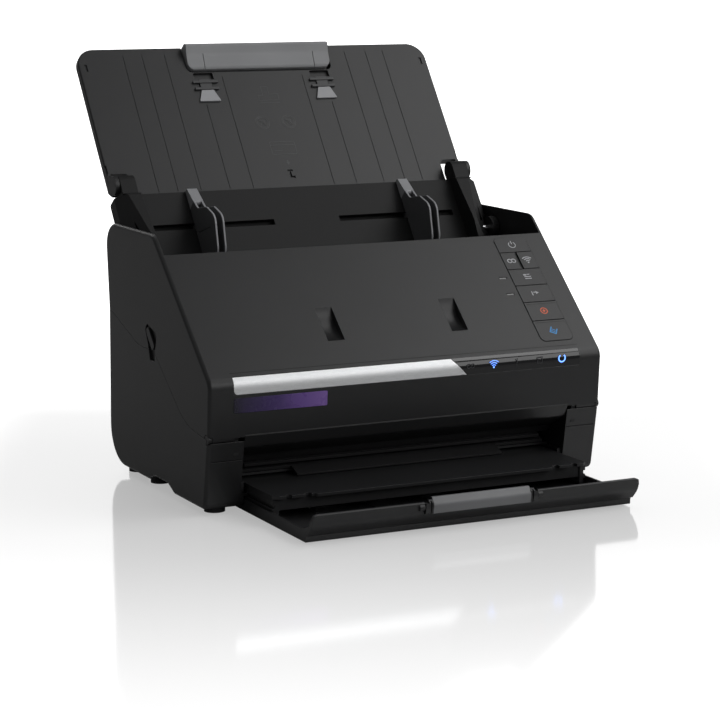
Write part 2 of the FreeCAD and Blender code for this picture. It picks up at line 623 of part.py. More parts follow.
def make_bed():
    profile = [(BED_LOW, -TRAY_T, 3), (3.2, -TRAY_T), (0.6, -4.6), (0.6, 0), (BED_LOW, 0)]
    hollow = [(BED_LOW + 2, -TRAY_T + SKIN_T), (-1.4, -TRAY_T + SKIN_T), (-1.4, -BED_T),
              (BED_LOW + 2, -BED_T)]
    solid = prism("x", profile, -EAR_X, EAR_X).cut(
        prism("x", hollow, -FLOOR_HALF + 1.4, FLOOR_HALF - 1.4))
    flanks = []
    for side in (1, -1):
        sides = [(BED_LOW, -TRAY_T, 3), (3.2, -TRAY_T), (0.6, -4.6), (0.6, 3.0, 2), (-4, 10, 4),
                 (-43, 16.5, 8), (-60, 14.5, 8), (BED_LOW, 4, 4)]
        flank = prism("x", sides, FLOOR_HALF + 0.4, EAR_X)
        wide = prism("x", [(-36, -TRAY_T, 2), (-4, -TRAY_T, 2), (-4, 10, 2), (-36, 15.3, 4)],
                     EAR_X, FLANK_HALF)
        knuckle = rod(LID_PIN, EAR_R, KNUCKLE_X, EAR_X - 0.4).fuse(
            prism("x", [(-2, -5.5), (LID_PIN[0], LID_PIN[1] - EAR_R), (LID_PIN[0], LID_PIN[1] + EAR_R),
                        (-4, 8)], KNUCKLE_X, EAR_X - 0.4))
        hollow_flank = prism("x", [(BED_LOW + 3, -TRAY_T + SKIN_T), (-6, -TRAY_T + SKIN_T),
                                   (-8, 6.5), (-43, 12.5, 4), (-58, 10.5, 4), (BED_LOW + 3, 1)],
                             FLOOR_HALF + 2.4, EAR_X - 2.5)
        slant = prism("y", [(FLOOR_HALF + 0.4, 30), (FLOOR_HALF + 0.4, 16.8), (FLOOR_HALF + 3.0, 16.6),
                            (FLANK_HALF + 0.7, 2.5), (FLANK_HALF + 0.7, 30)], -75, 15)
        slant = slant.cut(box(FLOOR_HALF - 5, HALF + 2, -3.8, 30, -20, 40))
        boss = rod(PIVOT, PIVOT_R + 3.5, FLOOR_HALF, EAR_X + 1)
        shape = less(join(flank, wide), slant, hollow_flank.cut(boss))
        shape = join(shape, knuckle)
        shape = less(shape, rod(PIVOT, PIVOT_R + RUN, EAR_X - 7.6, HALF + 2), rod(LID_PIN, PIN_R, KNUCKLE_X + 3, HALF + 2))
        flanks.append(shape if side > 0 else mirrored(shape))
    solid = join(solid, *flanks)
    tools = []
    for side in (1, -1):
        slot = box(SLOT_X[0], SLOT_X[1], SLOT_AT[0], SLOT_AT[1], -BED_T - 0.1, 0.1)
        tools.append(slot if side > 0 else mirrored(slot))
        notch = box(KNUCKLE_X, EAR_X - 0.4, 0.61, 15, -12, LID_PIN[1] - EAR_R)
        tools.append(notch if side > 0 else mirrored(notch))
    solid = less(solid, *tools)
    post = Part.makeCylinder(2.0, TRAY_T - SKIN_T - BED_T, V(0, PINION_AT, -TRAY_T + SKIN_T))
    return on_tray(join(solid, post))


def rack_outline(x0, x1, base, phase, up):
    # Straight rack: teeth point towards up (+1 or -1) from its pitch line
    pitch = math.pi * RACK_MODULE
    points = []
    count = int(math.floor((x1 - phase) / pitch))
    first = int(math.ceil((x0 - phase) / pitch))
    root, tip = base - up * 1.15 * RACK_MODULE, base + up * 0.85 * RACK_MODULE
    back = base - up * RACK_W
    points.append((x0, back))
    points.append((x0, root))
    for i in range(first + 1, count):
        x = phase + i * pitch
        points += [(x - 0.95, root), (x - 0.31, tip), (x + 0.31, tip), (x + 0.95, root)]
    points.append((x1, root))
    points.append((x1, back))
    return points


def make_guide(side):
    # Side +1 is the right guide; its rack runs above the pinion, the left below
    profile = [(0.7, 3.4, 1.2), (-20, 12, 5), (-27, 26, 6), (-39.7, 35.4, 9), (-61, 26, 9),
               (GUIDE_LOW, 9, 4), (GUIDE_LOW, 0.3, 1), (0.7, 0.3, 0.8)]
    wall = prism("x", profile, GUIDE_INNER, GUIDE_INNER + FIN_T)
    fin = prism("x", profile, GUIDE_INNER + GUIDE_T - FIN_T, GUIDE_INNER + GUIDE_T)
    inner = [(-3.5, 0.3), (-16, 5.0, 4), (-30, 12, 10), (-41, 20.0, 5), (-52, 12, 8),
             (GUIDE_LOW + 2.0, 4.0), (GUIDE_LOW + 2.0, 0.3)]
    web = prism("x", inner, GUIDE_INNER + FIN_T, GUIDE_INNER + GUIDE_T - FIN_T)
    groove = prism("x", [(-34.6, 3), (-35.4, 3), (-43.4, 25), (-42.6, 25)],
                   GUIDE_INNER + GUIDE_T - 0.4, GUIDE_INNER + GUIDE_T + 1)
    wall, fin = [plate.makeFillet(FIN_EDGE, [edge for edge in plate.Edges if edge.BoundBox.XLength < 1e-6
                                             and edge.BoundBox.ZMax > 1.0]) for plate in (wall, fin)]
    wall = less(join(wall, fin, web), groove)
    tab = prism("x", [(1.2, 0.4, 0.6), (1.2, 3.6, 1), (-14, 9.3, 2), (-14, 0.4)], GUIDE_INNER, GUIDE_INNER + GUIDE_T)
    stem = box(GUIDE_INNER + 0.5, GUIDE_INNER + GUIDE_T - 0.5, SLOT_AT[0] + 0.3, SLOT_AT[1] - 0.3,
               RACK_LOW, 0.8)
    shape = join(wall, tab, stem)
    if side < 0:
        shape = mirrored(shape)
    base = PINION_AT + side * RACK_MODULE * RACK_TEETH / 2
    x_far = -side * (GUIDE_OUT + 9.0)
    x_near = side * (GUIDE_INNER + GUIDE_T - 0.5)
    low, high = min(x_far, x_near), max(x_far, x_near)
    phase = (RACK_TEETH / 4 + 0.5) * math.pi * RACK_MODULE
    outline = rack_outline(low, high, base, phase, -side)
    rack = prism("z", outline, RACK_LOW, RACK_LOW + RACK_T)
    foot_a = sorted((SLOT_AT[0] + 0.3, base + side * RACK_W))
    if side < 0:
        foot_a = sorted((SLOT_AT[1] - 0.3, base + side * RACK_W))
    foot_x = sorted((side * (GUIDE_INNER + 0.5), side * (GUIDE_INNER + GUIDE_T - 0.5)))
    foot = box(foot_x[0], foot_x[1], foot_a[0], foot_a[1], RACK_LOW, RACK_LOW + RACK_T)
    return on_tray(join(shape, rack, foot))


def make_pinion():
    points = tooth_points(RACK_TEETH, RACK_MODULE, 0.0)
    wheel = prism("z", [(p, PINION_AT + q) for p, q in points], RACK_LOW, RACK_LOW + RACK_T)
    return on_tray(wheel.cut(Part.makeCylinder(2.05, 10, V(0, PINION_AT, -8))))


def make_lid():
    top, face, back = LID_TOP, LID_FACE, LID_FACE - LID_T
    plate = prism("z", [(-LID_HALF, 1.3), (LID_HALF, 1.3), (LID_HALF, top, LID_CORNER),
                        (-LID_HALF, top, LID_CORNER)], back, face)
    rim = [edge for edge in plate.Edges if edge.BoundBox.ZLength < 1e-6 and edge.BoundBox.YMax > 1.4]
    plate = plate.makeFillet(LID_EDGE, rim)
    ears = []
    for side in (1, -1):
        ear = rod(LID_PIN, EAR_R, EAR_X, LID_HALF).fuse(
            prism("x", [(LID_PIN[0] - 6.2, face), (19.0, face), (13.6, LID_PIN[1] + 1.8),
                        (LID_PIN[0], LID_PIN[1] + EAR_R)], EAR_X, LID_HALF))
        ears.append(ear if side > 0 else mirrored(ear))
    solid = join(plate, *ears)
    chamfer = prism("x", [(0, face + 0.01), (1.3, face + 0.01), (8.5, back), (8.5, back - 3),
                          (0, back - 3)], -EAR_X, EAR_X)
    ends = prism("x", [(-10, 20), (-10, back - 1), (8.5, back - 1), (8.5, back), (1.3, face),
                       (LID_PIN[0] - EAR_R - 0.1, face + 0.5), (LID_PIN[0] - EAR_R - 0.1, 20)],
                 -LID_HALF - 1, LID_HALF + 1)
    tools = [chamfer, ends]
    for side in (1, -1):
        notch = prism("z", [(KNUCKLE_X - 1.5, -5), (EAR_X, -5), (EAR_X, 20.5), (KNUCKLE_X - 1.5, 20.5, 4)],
                      back - 1, face + 1)
        slot = prism("z", [(TAB_X - 7.8, 103.5, 1), (TAB_X - 7.8, 98.0), (TAB_X - 5.2, 98.0),
                           (TAB_X - 5.2, 79.5), (TAB_X + 5.2, 79.5), (TAB_X + 5.2, 98.0),
                           (TAB_X + 7.8, 98.0), (TAB_X + 7.8, 103.5, 1)], face - LID_SKIN - 0.1, face + 1)
        hole = rod(LID_PIN, PIN_R + RUN, EAR_X - 1, LID_HALF - 0.8)
        pocket = box(LID_HALF - 6.4, LID_HALF - 4.4, 107, 113, face - 0.8, face + 1)
        nick = prism("x", [(20.5, face + 1), (20.5, face - 1.2), (27.0, face - 1.2), (28.4, face + 1)],
                     LID_HALF - 1.4, LID_HALF + 1)
        for tool in (notch, slot, hole, pocket, nick):
            tools.append(tool if side > 0 else mirrored(tool))
    clip = prism("z", [(-1.8, 10.5), (3.0, 10.5), (3.0, 12.4), (0.6, 12.4), (0.6, 16.6), (2.2, 16.6),
                       (2.2, 17.8), (-1.8, 17.8)], face - 1.0, face + 1)
    tools.append(clip)
    cavity = box(-LID_HALF + 4.6, LID_HALF - 4.6, 24, top - 3.5, back + LID_SKIN, face - LID_SKIN)
    cavity = cavity.fuse(box(-56, 56, 14, top + 2, back + LID_SKIN, face - LID_SKIN))
    corner = prism("z", [(-LID_HALF + 3, 0), (LID_HALF - 3, 0), (LID_HALF - 3, top - 3, LID_CORNER - 3),
                         (-LID_HALF + 3, top - 3, LID_CORNER - 3)], back, face)
    opening = box(-56, 56, 14, top + 2, back + LID_SKIN, face - LID_SKIN)
    cavity = cavity.common(corner).fuse(opening)
    rails = [box(56, 57.4, 34, top - 3, back + LID_SKIN, face - LID_SKIN)]
    rails.append(mirrored(rails[0]))
    tools.append(cavity.cut(rails))
    grip = prism("z", [(-HANDLE_HALF - 1.2, HANDLE_LOW - 1, 5), (HANDLE_HALF + 1.2, HANDLE_LOW - 1, 5),
                       (HANDLE_HALF + 1.2, top + 5), (-HANDLE_HALF - 1.2, top + 5)],
                 back + LID_SKIN, face + 1)
    tools.append(grip)
    for x in SCORES:
        reach = {32.6: 100.0, 51.0: 75.7}.get(x, 120.0)
        line = box(x - 0.2, x + 0.2, 4, reach, face - 0.25, face + 1)
        tools += both_sides(line)
    return on_tray(less(solid, *tools))


def make_tabs():
    tabs = []
    for side in (1, -1):
        leaf = prism("z", [(TAB_X - 8.4, 78.3, 0.4), (TAB_X + 8.4, 78.3, 0.4), (TAB_X + 4.8, 87.8),
                           (TAB_X - 4.8, 87.8)], LID_FACE + 0.1, LID_FACE + 1.3)
        neck = box(TAB_X - 4.6, TAB_X + 4.6, 80.0, 97.5, LID_FACE - LID_SKIN + 0.2, LID_FACE + 0.9)
        bars = [box(TAB_X - half, TAB_X + half, low, low + 1.9, LID_FACE + 0.1, LID_FACE + 1.5)
                for half, low in ((9.4, 88.4), (9.8, 94.2))]
        tab = join(leaf, neck, *bars)
        tabs.append(tab if side > 0 else mirrored(tab))
    return on_tray(Part.makeCompound(tabs))


def make_extension():
    low = LID_FACE - LID_T + LID_SKIN + 0.25
    plate = box(-55.7, 55.7, 22, HANDLE_LOW + 2, low, low + 2.4)
    grooves = [box(x - 0.5, x + 0.5, 28, HANDLE_LOW - 4, low + 2.0, low + 3) for x in (-30, -10, 10, 30)]
    return on_tray(less(plate, *grooves))


def make_grip():
    low = LID_FACE - LID_T + LID_SKIN + 0.25
    outline = [(HANDLE_LOW + 2, low), (LID_TOP, low, 1), (LID_TOP + 0.2, 0.5, 2), (124.0, 3.1, 1.5),
               (117, -0.6, 14), (108.0, -2.5, 3), (HANDLE_LOW + 1.2, -3.6, 1),
               (HANDLE_LOW + 1.2, low + 2.4), (HANDLE_LOW + 2, low + 2.4)]
    grip = prism("x", outline, -HANDLE_HALF, HANDLE_HALF)
    trim = both_sides(prism("y", [(56.7, -12), (56.7, -2.5), (HANDLE_HALF, 3.2), (70, 3.2), (70, -12)],
                            90, 150).cut(box(0, HANDLE_HALF - 0.01, 80, 150, -20, 20)))
    corners = both_sides(box(HANDLE_HALF - 4, HANDLE_HALF + 1, HANDLE_LOW, HANDLE_LOW + 6, -20, 20).cut(
        Part.makeCylinder(5.0, 40, V(HANDLE_HALF - 5, HANDLE_LOW + 6.2, -20))))
    splits = both_sides(box(44.6, 45.0, HANDLE_LOW, 118.0, -4.3, 1.0))
    return on_tray(less(grip, *trim, *corners, *splits))


def make_output_tray():
    back = OUT_FRONT + OUT_LENGTH
    right = [(88.0, OUT_FRONT - 2.4, 1), (89.0, OUT_FRONT, 0.8)]
    for x in (OUT_HALF - 24.4, OUT_HALF - 10.4):
        right += [(x - 2, OUT_FRONT), (x - 2, OUT_FRONT + 3.4, 1), (x + 2, OUT_FRONT + 3.4, 1), (x + 2, OUT_FRONT)]
    right += [(OUT_HALF - 3.4, OUT_FRONT, 1), (OUT_HALF, OUT_FRONT + 3, 2), (OUT_HALF, back, 3)]
    front = right + [(-p[0],) + p[1:] for p in reversed(right)]
    plate = prism("z", front, OUT_TOP - 2, OUT_TOP)
    rails = both_sides(box(OUT_HALF - 4.5, OUT_HALF, OUT_FRONT + 3, back - 3, 4.5, OUT_TOP - 2))
    ribs = [box(x - 0.8, x + 0.8, OUT_FRONT + 4, back - 4, 9, OUT_TOP - 2) for x in (-75, -37.5, 0, 37.5, 75)]
    ribs.append(box(-OUT_HALF + 4, OUT_HALF - 4, OUT_FRONT + 4, OUT_FRONT + 6, 9, OUT_TOP - 2))
    ribs.append(box(-OUT_HALF + 4, OUT_HALF - 4, back - 6, back - 4, 9, OUT_TOP - 2))
    tools = both_sides(box(OUT_HALF - 1.5, OUT_HALF + 1, OUT_FRONT - 5, back + 5, 10.7, 13.3))
    tools += both_sides(box(OUT_HALF - 1.5, OUT_HALF + 1, OUT_FRONT - 5, back + 5, 5.7, 7.8))
    return less(join(plate, *rails, *ribs), *tools)


def make_output_extension():
    plate = box(-SLIDE_HALF, SLIDE_HALF, -86, 60, 1.0, 2.6)
    walls = both_sides(box(SLIDE_HALF - 1.4, SLIDE_HALF, -86, 60, 1.0, 9.0))
    tongues = both_sides(box(SLIDE_HALF - 3.1, SLIDE_HALF - 1.3, -15, 60, 6.0, 7.5))
    lip = prism("x", LIP, -SLIDE_HALF, SLIDE_HALF)
    ends = both_sides(prism("x", [(-83.0, 2.0), (-92.4, 13.0), (-88.4, 11.4, 2), (-80.0, 9.0, 3), (-70, 9.0),
                                  (-70, 2.0)], SLIDE_HALF - 1.4, SLIDE_HALF))
    bearings = both_sides(rod(STOPPER_AT, 2.2, STOPPER_END + 0.4, STOPPER_END + 4.0))
    runners = [box(x - 0.6, x + 0.6, -78, 50, 2.5, 3.2) for x in (-82, -41, 0, 41, 82)]
    solid = join(plate, *walls, *tongues, lip, *ends, *bearings, *runners)
    corners = both_sides(prism("y", [(SLIDE_HALF - 3.6, 22), (SLIDE_HALF - 3.6, 21), (SLIDE_HALF - 1.0, 19.9),
                                     (SLIDE_HALF, 16.5), (SLIDE_HALF + 1, 16.5), (SLIDE_HALF + 1, 22)], -110, -88))
    window = box(-STOPPER_END - 0.4, STOPPER_END + 0.4, -110, -85, 12.6, 30)
    holes = both_sides(rod(STOPPER_AT, 1.3, STOPPER_END, STOPPER_END + 3.0))
    return less(solid, window, *holes, *corners)


def make_stopper():
    flap = [(-97.6, 12.9, 0.8), (-98.9, 19.0, 3), (-95.6, 23.6, 1.2), (-93.2, 23.4, 1), (-93.9, 16.5, 3),
            (-95.2, 12.9, 0.8)]
    plate = prism("x", flap, -STOPPER_HALF, STOPPER_HALF)
    arm = [(-97.4, 13.0, 0.8), (-98.4, 17.0, 1), (-98.4, 20.6, 1), (-95.8, 22.6, 1), (-93.9, 20.6, 1),
           (-93.9, 16.6, 1), (-95.4, 13.0, 0.8)]
    arms = both_sides(prism("x", arm, STOPPER_HALF - 0.1, STOPPER_END))
    notches = both_sides(box(STOPPER_END - 2.4, STOPPER_END + 1, -110, -80, 20.0, 26))
    notches += both_sides(box(STOPPER_HALF + 1.0, STOPPER_HALF + 2.2, -110, -97.2, 12, 30))
    pins = both_sides(rod(STOPPER_AT, 1.25, STOPPER_END - 1, STOPPER_END + 2.8))
    return join(less(join(plate, *arms), *notches), *pins)


def strip_box(x0, x1):
    return box(x0, x1, -10, 1.6, STRIP[0], STRIP[1])


def plate_region():
    outline = [(-STRIP_HALF, STRIP[0] + 0.2, 3), (PLATE_END, STRIP[0] + 0.2), (PLATE_END - 11.0, STRIP[1] - 1.8),
               (-STRIP_HALF, STRIP[1] - 1.8)]
    return prism("y", outline, -10, 1.6)


def make_strip():
    body = CASING.common(strip_box(-STRIP_HALF, STRIP_HALF)).cut(band(2.6, -200, 200))
    return body.cut(plate_region().cut(band(0.8, -200, 200)))


def make_silver():
    return CASING.common(plate_region()).cut(band(0.8, -200, 200))


def make_key(index):
    x0, x1, s0, s1 = KEY_CELLS[index]
    low = 4.0 if index == len(KEYS) - 1 else 0.5
    high = 3.0 if index == 0 else 0.5
    cap = on_slope(prism("z", [(x0, -s0, high), (x0, -s1, low), (x1, -s1, low), (x1, -s0, high)],
                         0.4 - KEY_T, 0.4))
    cap = cap.fuse(on_slope(box(x0 - 0.6 if x0 == KEY_X[0] else x0, x1 + 0.6 if x1 == KEY_X[1] else x1,
                                -s1 + 0.8 + low / 2, -s0 - 0.8 - high / 2, -4.2, 0.41 - KEY_T)))
    middle = ((x0 + x1) / 2, -(s0 + s1) / 2)
    return cap.fuse(on_slope(box(middle[0] - 1.5, middle[0] + 1.5, middle[1] - 1.5, middle[1] + 1.5,
                                 -4.7, -4.1))).removeSplitter()


def make_key_board():
    board = on_slope(box(LIGHT_X - 3.4, KEY_X[1] + 7.5, -100.0, -6.2, -9.6, -8.0))
    switches = []
    for x0, x1, s0, s1 in KEY_CELLS:
        x, s = (x0 + x1) / 2, -(s0 + s1) / 2
        switches.append(on_slope(box(x - 3, x + 3, s - 3, s + 3, -8.0, -5.25)))
    lights = [on_slope(box(LIGHT_X - 2.8, LIGHT_X + 2.8, -s - 0.7, -s + 0.7, -8.0, -0.3)) for s in LIGHT_ROWS]
    return join(board, *switches, *lights)



def above_guide_end(back):
    # Point clear of the cover's guide sheet, measured back from its lower end
    before, last = [V(*p[:2], 0) for p in offset_line(PATH, -PATH_GAP - GUIDE_SHEET - 0.6)[-2:]]
    at = last + (before - last).normalize() * back
    return (at.x, at.y)


BAY_BACK = 167.0
DECK_BACK = 176.0
LIP_Y = 177.0              # front edge of the housing's lip, behind the open tray
PINION_AT = (SLOT_AT[0] + SLOT_AT[1]) / 2
RACK_LOW = -TRAY_T + SKIN_T + 0.3
TYRES = (-90.0, -35.0, 35.0, 90.0)
IDLERS = ("pickup_idler", "motor_idler", "eject_idler")
INNER_LINE = [(85.2, 157.6, 0.0), (112.5, 126.5, 6.0), bed_point(-112.0, PATH_GAP) + (10.0,)] + \
    UPPER_PATH[1:]
RECESS = [(1.4, 54.0, 0.0), (5.2, 46.0, 3.0), (24.5, 36.5, 4.0), above_guide_end(5.0) + (0.0,)]
FEET = ((22.0, 4.0), (118.0, 5.0), (160.0, 5.0))
SOCKETS = ((-70.0, 42.0, 19.0, 12.0), (-30.0, 42.0, 12.6, 11.6), (10.0, 42.0, 7.6, 3.6))
CHIPS = ((-60.0, 60.0, 22.0, 22.0, 2.2), (-20.0, 66.0, 14.0, 14.0, 1.8), (20.0, 56.0, 26.0, 10.0, 4.0),
         (56.0, 70.0, 10.0, 18.0, 6.0))
LIGHT_ROWS = (39.7, 54.5)
SCOOP_X = (40.8, 53.2)     # the two finger hollows in the panel
SCOOP_S = (54.0, 83.0)
SCOOP_DEPTH = 5.2
LIP = [(-80, 1.0), (-85.8, 1.0, 1.5), (-86.3, 5.2, 0.6), (-88.8, 5.9, 1.5), (-94.6, 12.0, 12),
       (-97.7, 20.9, 1.2), (-94.9, 20.9, 1.2), (-91.9, 13.2, 9), (-84.8, 7.6, 3), (-83.8, 2.6, 1),
       (-80, 2.6)]
STOPPER_AT = (-96.0, 17.6)
STOPPER_END = STOPPER_HALF + 5.4   # over the black arm at each end of the stopper
LUG_X = (PILLAR_X + 3.8, PILLAR_X + 7.0)   # base's hinge lugs
CHEEK_IN = INNER - 5.4     # inner face of the cheeks that carry the tray
LIGHT_X = KEY_X[0] - 6.8
MOUTH_HALF = INNER - 6.2
FOOT_X = HALF - 13.0
TAB_X = 47.4               # middle of each sheet tab on the lid
KEY_MID = (KEY_X[0] + KEY_X[1]) / 2


def key_cells():
    cells = []
    for i, (top, low) in enumerate(zip(KEY_ROWS, KEY_ROWS[1:])):
        if i == 1:
            cells.append((KEY_X[0], KEY_MID - KEY_GAP, top, low - KEY_GAP))
            cells.append((KEY_MID + KEY_GAP, KEY_X[1], top, low - KEY_GAP))
        else:
            cells.append((KEY_X[0], KEY_X[1], top, low - KEY_GAP))
    return cells


KEY_CELLS = key_cells()


def sockets():
    x, z, w, h = SOCKETS[0]
    power = box(x - w / 2, x + w / 2, 171.8, 182.0, z - h / 2, z + h / 2).cut(
        box(x - w / 2 + 1.2, x + w / 2 - 1.2, 174, 190, z - h / 2 + 1.2, z + h / 2 - 1.2))
    x, z, w, h = SOCKETS[1]
    usb = box(x - w / 2, x + w / 2, 171.8, 182.0, z - h / 2, z + h / 2).cut(
        box(x - w / 2 + 0.6, x + w / 2 - 0.6, 174, 190, z - h / 2 + 0.6, z + h / 2 - 0.6))
    return power, usb


def build():
    nodes = {}
    nodes["base_casing"] = make_base()
    nodes["rubber_feet"] = make_feet()
    nodes["under_floor"] = make_deck()
    nodes["rear_housing"] = make_rear_housing()
    nodes["side_frame_left"] = make_frame(-1)
    nodes["side_frame_right"] = make_frame(1)
    nodes["lower_guide"] = make_lower_guide()
    nodes["rear_sensor"] = on_path_box(SENSOR_AT, 5.5, -14, -2.0, SENSOR_HALF).cut(
        on_path_box(SENSOR_AT, 3.5, -12, -2.0, SENSOR_HALF - 2.8))
    nodes["rear_sensor_glass"] = on_path_box(SENSOR_AT, 5.5, -2.0, 0.0, SENSOR_HALF)
    nodes["motor"] = make_motor()
    nodes["main_board"] = make_board()
    nodes["power_socket"], nodes["usb_socket"] = sockets()
    nodes["tray_pivot_pins"] = Part.makeCompound(both_sides(rod(PIVOT_YZ, PIVOT_R, EAR_X - 7.1, INNER - 0.7)))
    nodes["cover_hinge_pins"] = Part.makeCompound(both_sides(rod(COVER_HINGE, COVER_PIN_R, LUG_X[0] + 0.2, HALF - 0.9)))
    nodes["roller_bushes"] = make_bushes()
    nodes["cover_shell"] = make_cover()
    nodes["cover_inner_guide"] = make_inner_guide()
    nodes["front_sensor"] = on_path_box(SENSOR_AT, 5.5, PATH_GAP + 2.0, 15, SENSOR_HALF).cut(
        on_path_box(SENSOR_AT, 3.5, PATH_GAP + 2.0, 13, SENSOR_HALF - 2.8))
    nodes["front_sensor_glass"] = on_path_box(SENSOR_AT, 5.5, PATH_GAP, PATH_GAP + 2.0, SENSOR_HALF)
    nodes["status_window"] = make_strip()
    nodes["silver_plate"] = make_silver()
    nodes["button_board"] = make_key_board()
    for index, name in enumerate(KEYS):
        nodes[name] = make_key(index)
    nodes["separation_roller"] = idlers(SEPARATION_YZ, SEPARATION_R, (0.0,), 40.0, SHAFT_R)
    nodes["feed_idlers"] = idlers(FEED_IDLER_YZ, IDLER_R, TYRES, 14.0, IDLER_SHAFT_R)
    nodes["eject_idlers"] = idlers(EJECT_IDLER_YZ, IDLER_R, TYRES, 14.0, IDLER_SHAFT_R)
    nodes["cover_latch"] = make_latch()
    nodes["feed_tray"] = make_bed()
    nodes["guide_left"] = make_guide(-1)
    nodes["guide_right"] = make_guide(1)
    nodes["guide_pinion"] = make_pinion()
    nodes["tray_lid"] = make_lid()
    nodes["lid_pins"] = on_tray(Part.makeCompound(both_sides(rod(LID_PIN, PIN_R, KNUCKLE_X + 3.2, LID_HALF - 1.0))))
    nodes["lid_tabs"] = make_tabs()
    nodes["lid_extension"] = make_extension()
    nodes["extension_grip"] = make_grip()
    nodes["output_tray"] = make_output_tray()
    nodes["output_extension"] = make_output_extension()
    nodes["output_stopper"] = make_stopper()
    reach = GEAR_X + GEAR_W + 0.6
    nodes["feed_roller"] = roller(FEED_YZ, FEED_R, TYRES, 15.0, reach=reach)
    nodes["pickup_roller"] = roller(PICKUP_YZ, PICKUP_R, (0.0,), 40.0, reach=reach)
    nodes["eject_roller"] = roller(EJECT_YZ, EJECT_R, TYRES, 15.0, reach=reach)
    nodes["motor_shaft"] = make_motor_shaft()
    for name in IDLERS:
        nodes[name + "_axle"] = make_axle(name)
    bores = {"feed": 2.0, "pickup": 2.0, "eject": 2.0, "motor": 1.0}
    for name, teeth in TEETH.items():
        nodes[name + "_gear"] = gear(GEAR_YZ[name], teeth, GEAR_PHASE[name], GEAR_X,
                                     GEAR_X + GEAR_W, bores.get(name, 1.6))
    return nodes


def main():
    os.makedirs("parts", exist_ok=True)
    nodes = build()
    whole = Part.makeCompound(list(nodes.values())).BoundBox
    shift = V(-(whole.XMin + whole.XMax) / 2, -(whole.YMin + whole.YMax) / 2, -whole.ZMin)
    print("size", [round(v, 3) for v in (whole.XLength, whole.YLength, whole.ZLength)])
    print("shift", [round(v, 4) for v in shift])
    points = {"tray_pivot": PIVOT_YZ, "lid_pin": LID_PIN_YZ, "cover_hinge": COVER_HINGE,
              "latch": LEVER_SHAFT, "stopper": STOPPER_AT, "separation": SEPARATION_YZ,
              "feed_idlers": FEED_IDLER_YZ, "eject_idlers": EJECT_IDLER_YZ,
              "pinion": bed_point(PINION_AT), "key": (PANEL_TOP_Y, slope_z(PANEL_TOP_Y))}
    points.update({"gear_" + name: place for name, place in GEAR_YZ.items()})
    for name, place in points.items():
        print("anchor", name, round((place[0] + shift.y) / 1000, 6), round((place[1] + shift.z) / 1000, 6))
    for name, shape in nodes.items():
        moved = shape.copy()
        moved.translate(shift)
        moved.exportStep("parts/" + name + ".step")
        good = "valid" if shape.isValid() else "NOT VALID"
        print(name, good, len(shape.Solids), round(shape.Volume / 1000, 2))


main()
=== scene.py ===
# Sheet-fed photo scanner: materials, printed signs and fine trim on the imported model
import bpy
import bmesh
import json
import math
from mathutils import Euler, Matrix, Vector


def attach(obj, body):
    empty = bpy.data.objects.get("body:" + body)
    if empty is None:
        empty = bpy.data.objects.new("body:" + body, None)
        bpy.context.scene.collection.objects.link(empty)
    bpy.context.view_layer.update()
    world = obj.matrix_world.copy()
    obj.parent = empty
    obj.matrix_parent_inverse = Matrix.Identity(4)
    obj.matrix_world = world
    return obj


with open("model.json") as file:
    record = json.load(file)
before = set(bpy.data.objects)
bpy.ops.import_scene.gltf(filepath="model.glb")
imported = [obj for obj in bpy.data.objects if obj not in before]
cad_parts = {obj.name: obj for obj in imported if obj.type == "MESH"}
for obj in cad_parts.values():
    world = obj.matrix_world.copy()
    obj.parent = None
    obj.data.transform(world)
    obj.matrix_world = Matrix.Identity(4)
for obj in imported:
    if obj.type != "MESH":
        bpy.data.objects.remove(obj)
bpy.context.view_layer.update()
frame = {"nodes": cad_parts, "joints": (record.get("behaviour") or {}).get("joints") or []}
print("model loaded", len(frame["nodes"]), "nodes")

mm = 0.001

# The drawing's own zero is the front of the pillars; the cover's hinge says where that is in the frame
drawing = {
    "hingeY": 3.7,                 # cover hinge, from the front of the pillars
    "slope": 42.1,                 # front panel, degrees
    "panelTop": (80.4, 163.454),   # upper edge of the panel: y, z
    "nose": (-2.0, 89.0),          # where the panel would meet the front face: y, z
    "frontFoot": (0.5, 52.0),      # lower edge of the front face: y, z
    "traySeam": (181.0, 193.8),    # seam between tray and lid: y, z
    "trayLean": 53.87,             # tray and lid, degrees
    "lidFace": -4.35,              # face of the lid, off the tray's plane
}
hingeAt = next(joint["pos_m"] for joint in frame["joints"] if joint["name"] == "cover_hinge")
shiftY = hingeAt[1] - drawing["hingeY"] * mm


def spot(x, y, z):
    # a point of the drawing, in metres in the frame
    return Vector((x * mm, y * mm + shiftY, z * mm))


def tilted(x, y, z, degrees, lift):
    # a plane through a point of the drawing, turned about x and lifted off itself
    turn = Matrix.Rotation(math.radians(degrees), 4, "X")
    return Matrix.Translation(spot(x, y, z)) @ turn @ Matrix.Translation((0, 0, lift * mm))


def slopePlane(lift=0.0):
    # x across, y up the panel from its upper edge, z off the panel
    return tilted(0, *drawing["panelTop"], drawing["slope"], lift)


def trayPlane(lift=0.0):
    # x across, y up the tray from its seam, z off the tray
    return tilted(0, *drawing["traySeam"], drawing["trayLean"], lift)


def frontPlane(x, z, lift=0.0):
    # x across, y up, z out of the front face, which leans forward from its foot to the nose
    foot, height = drawing["frontFoot"]
    lean = foot - drawing["nose"][0]
    rise = drawing["nose"][1] - height
    return tilted(x, foot - lean * (z - height) / rise, z, 90 + math.degrees(math.atan2(lean, rise)), lift)


# Helpers for the materials

rampEnds = (0.3, 0.7)      # part of the noise over which a colour changes
bevelSamples = 4


def newMaterial(name):
    material = bpy.data.materials.new(name)
    material.use_nodes = True
    nodes = material.node_tree.nodes
    return material, nodes, material.node_tree.links, nodes["Principled BSDF"]


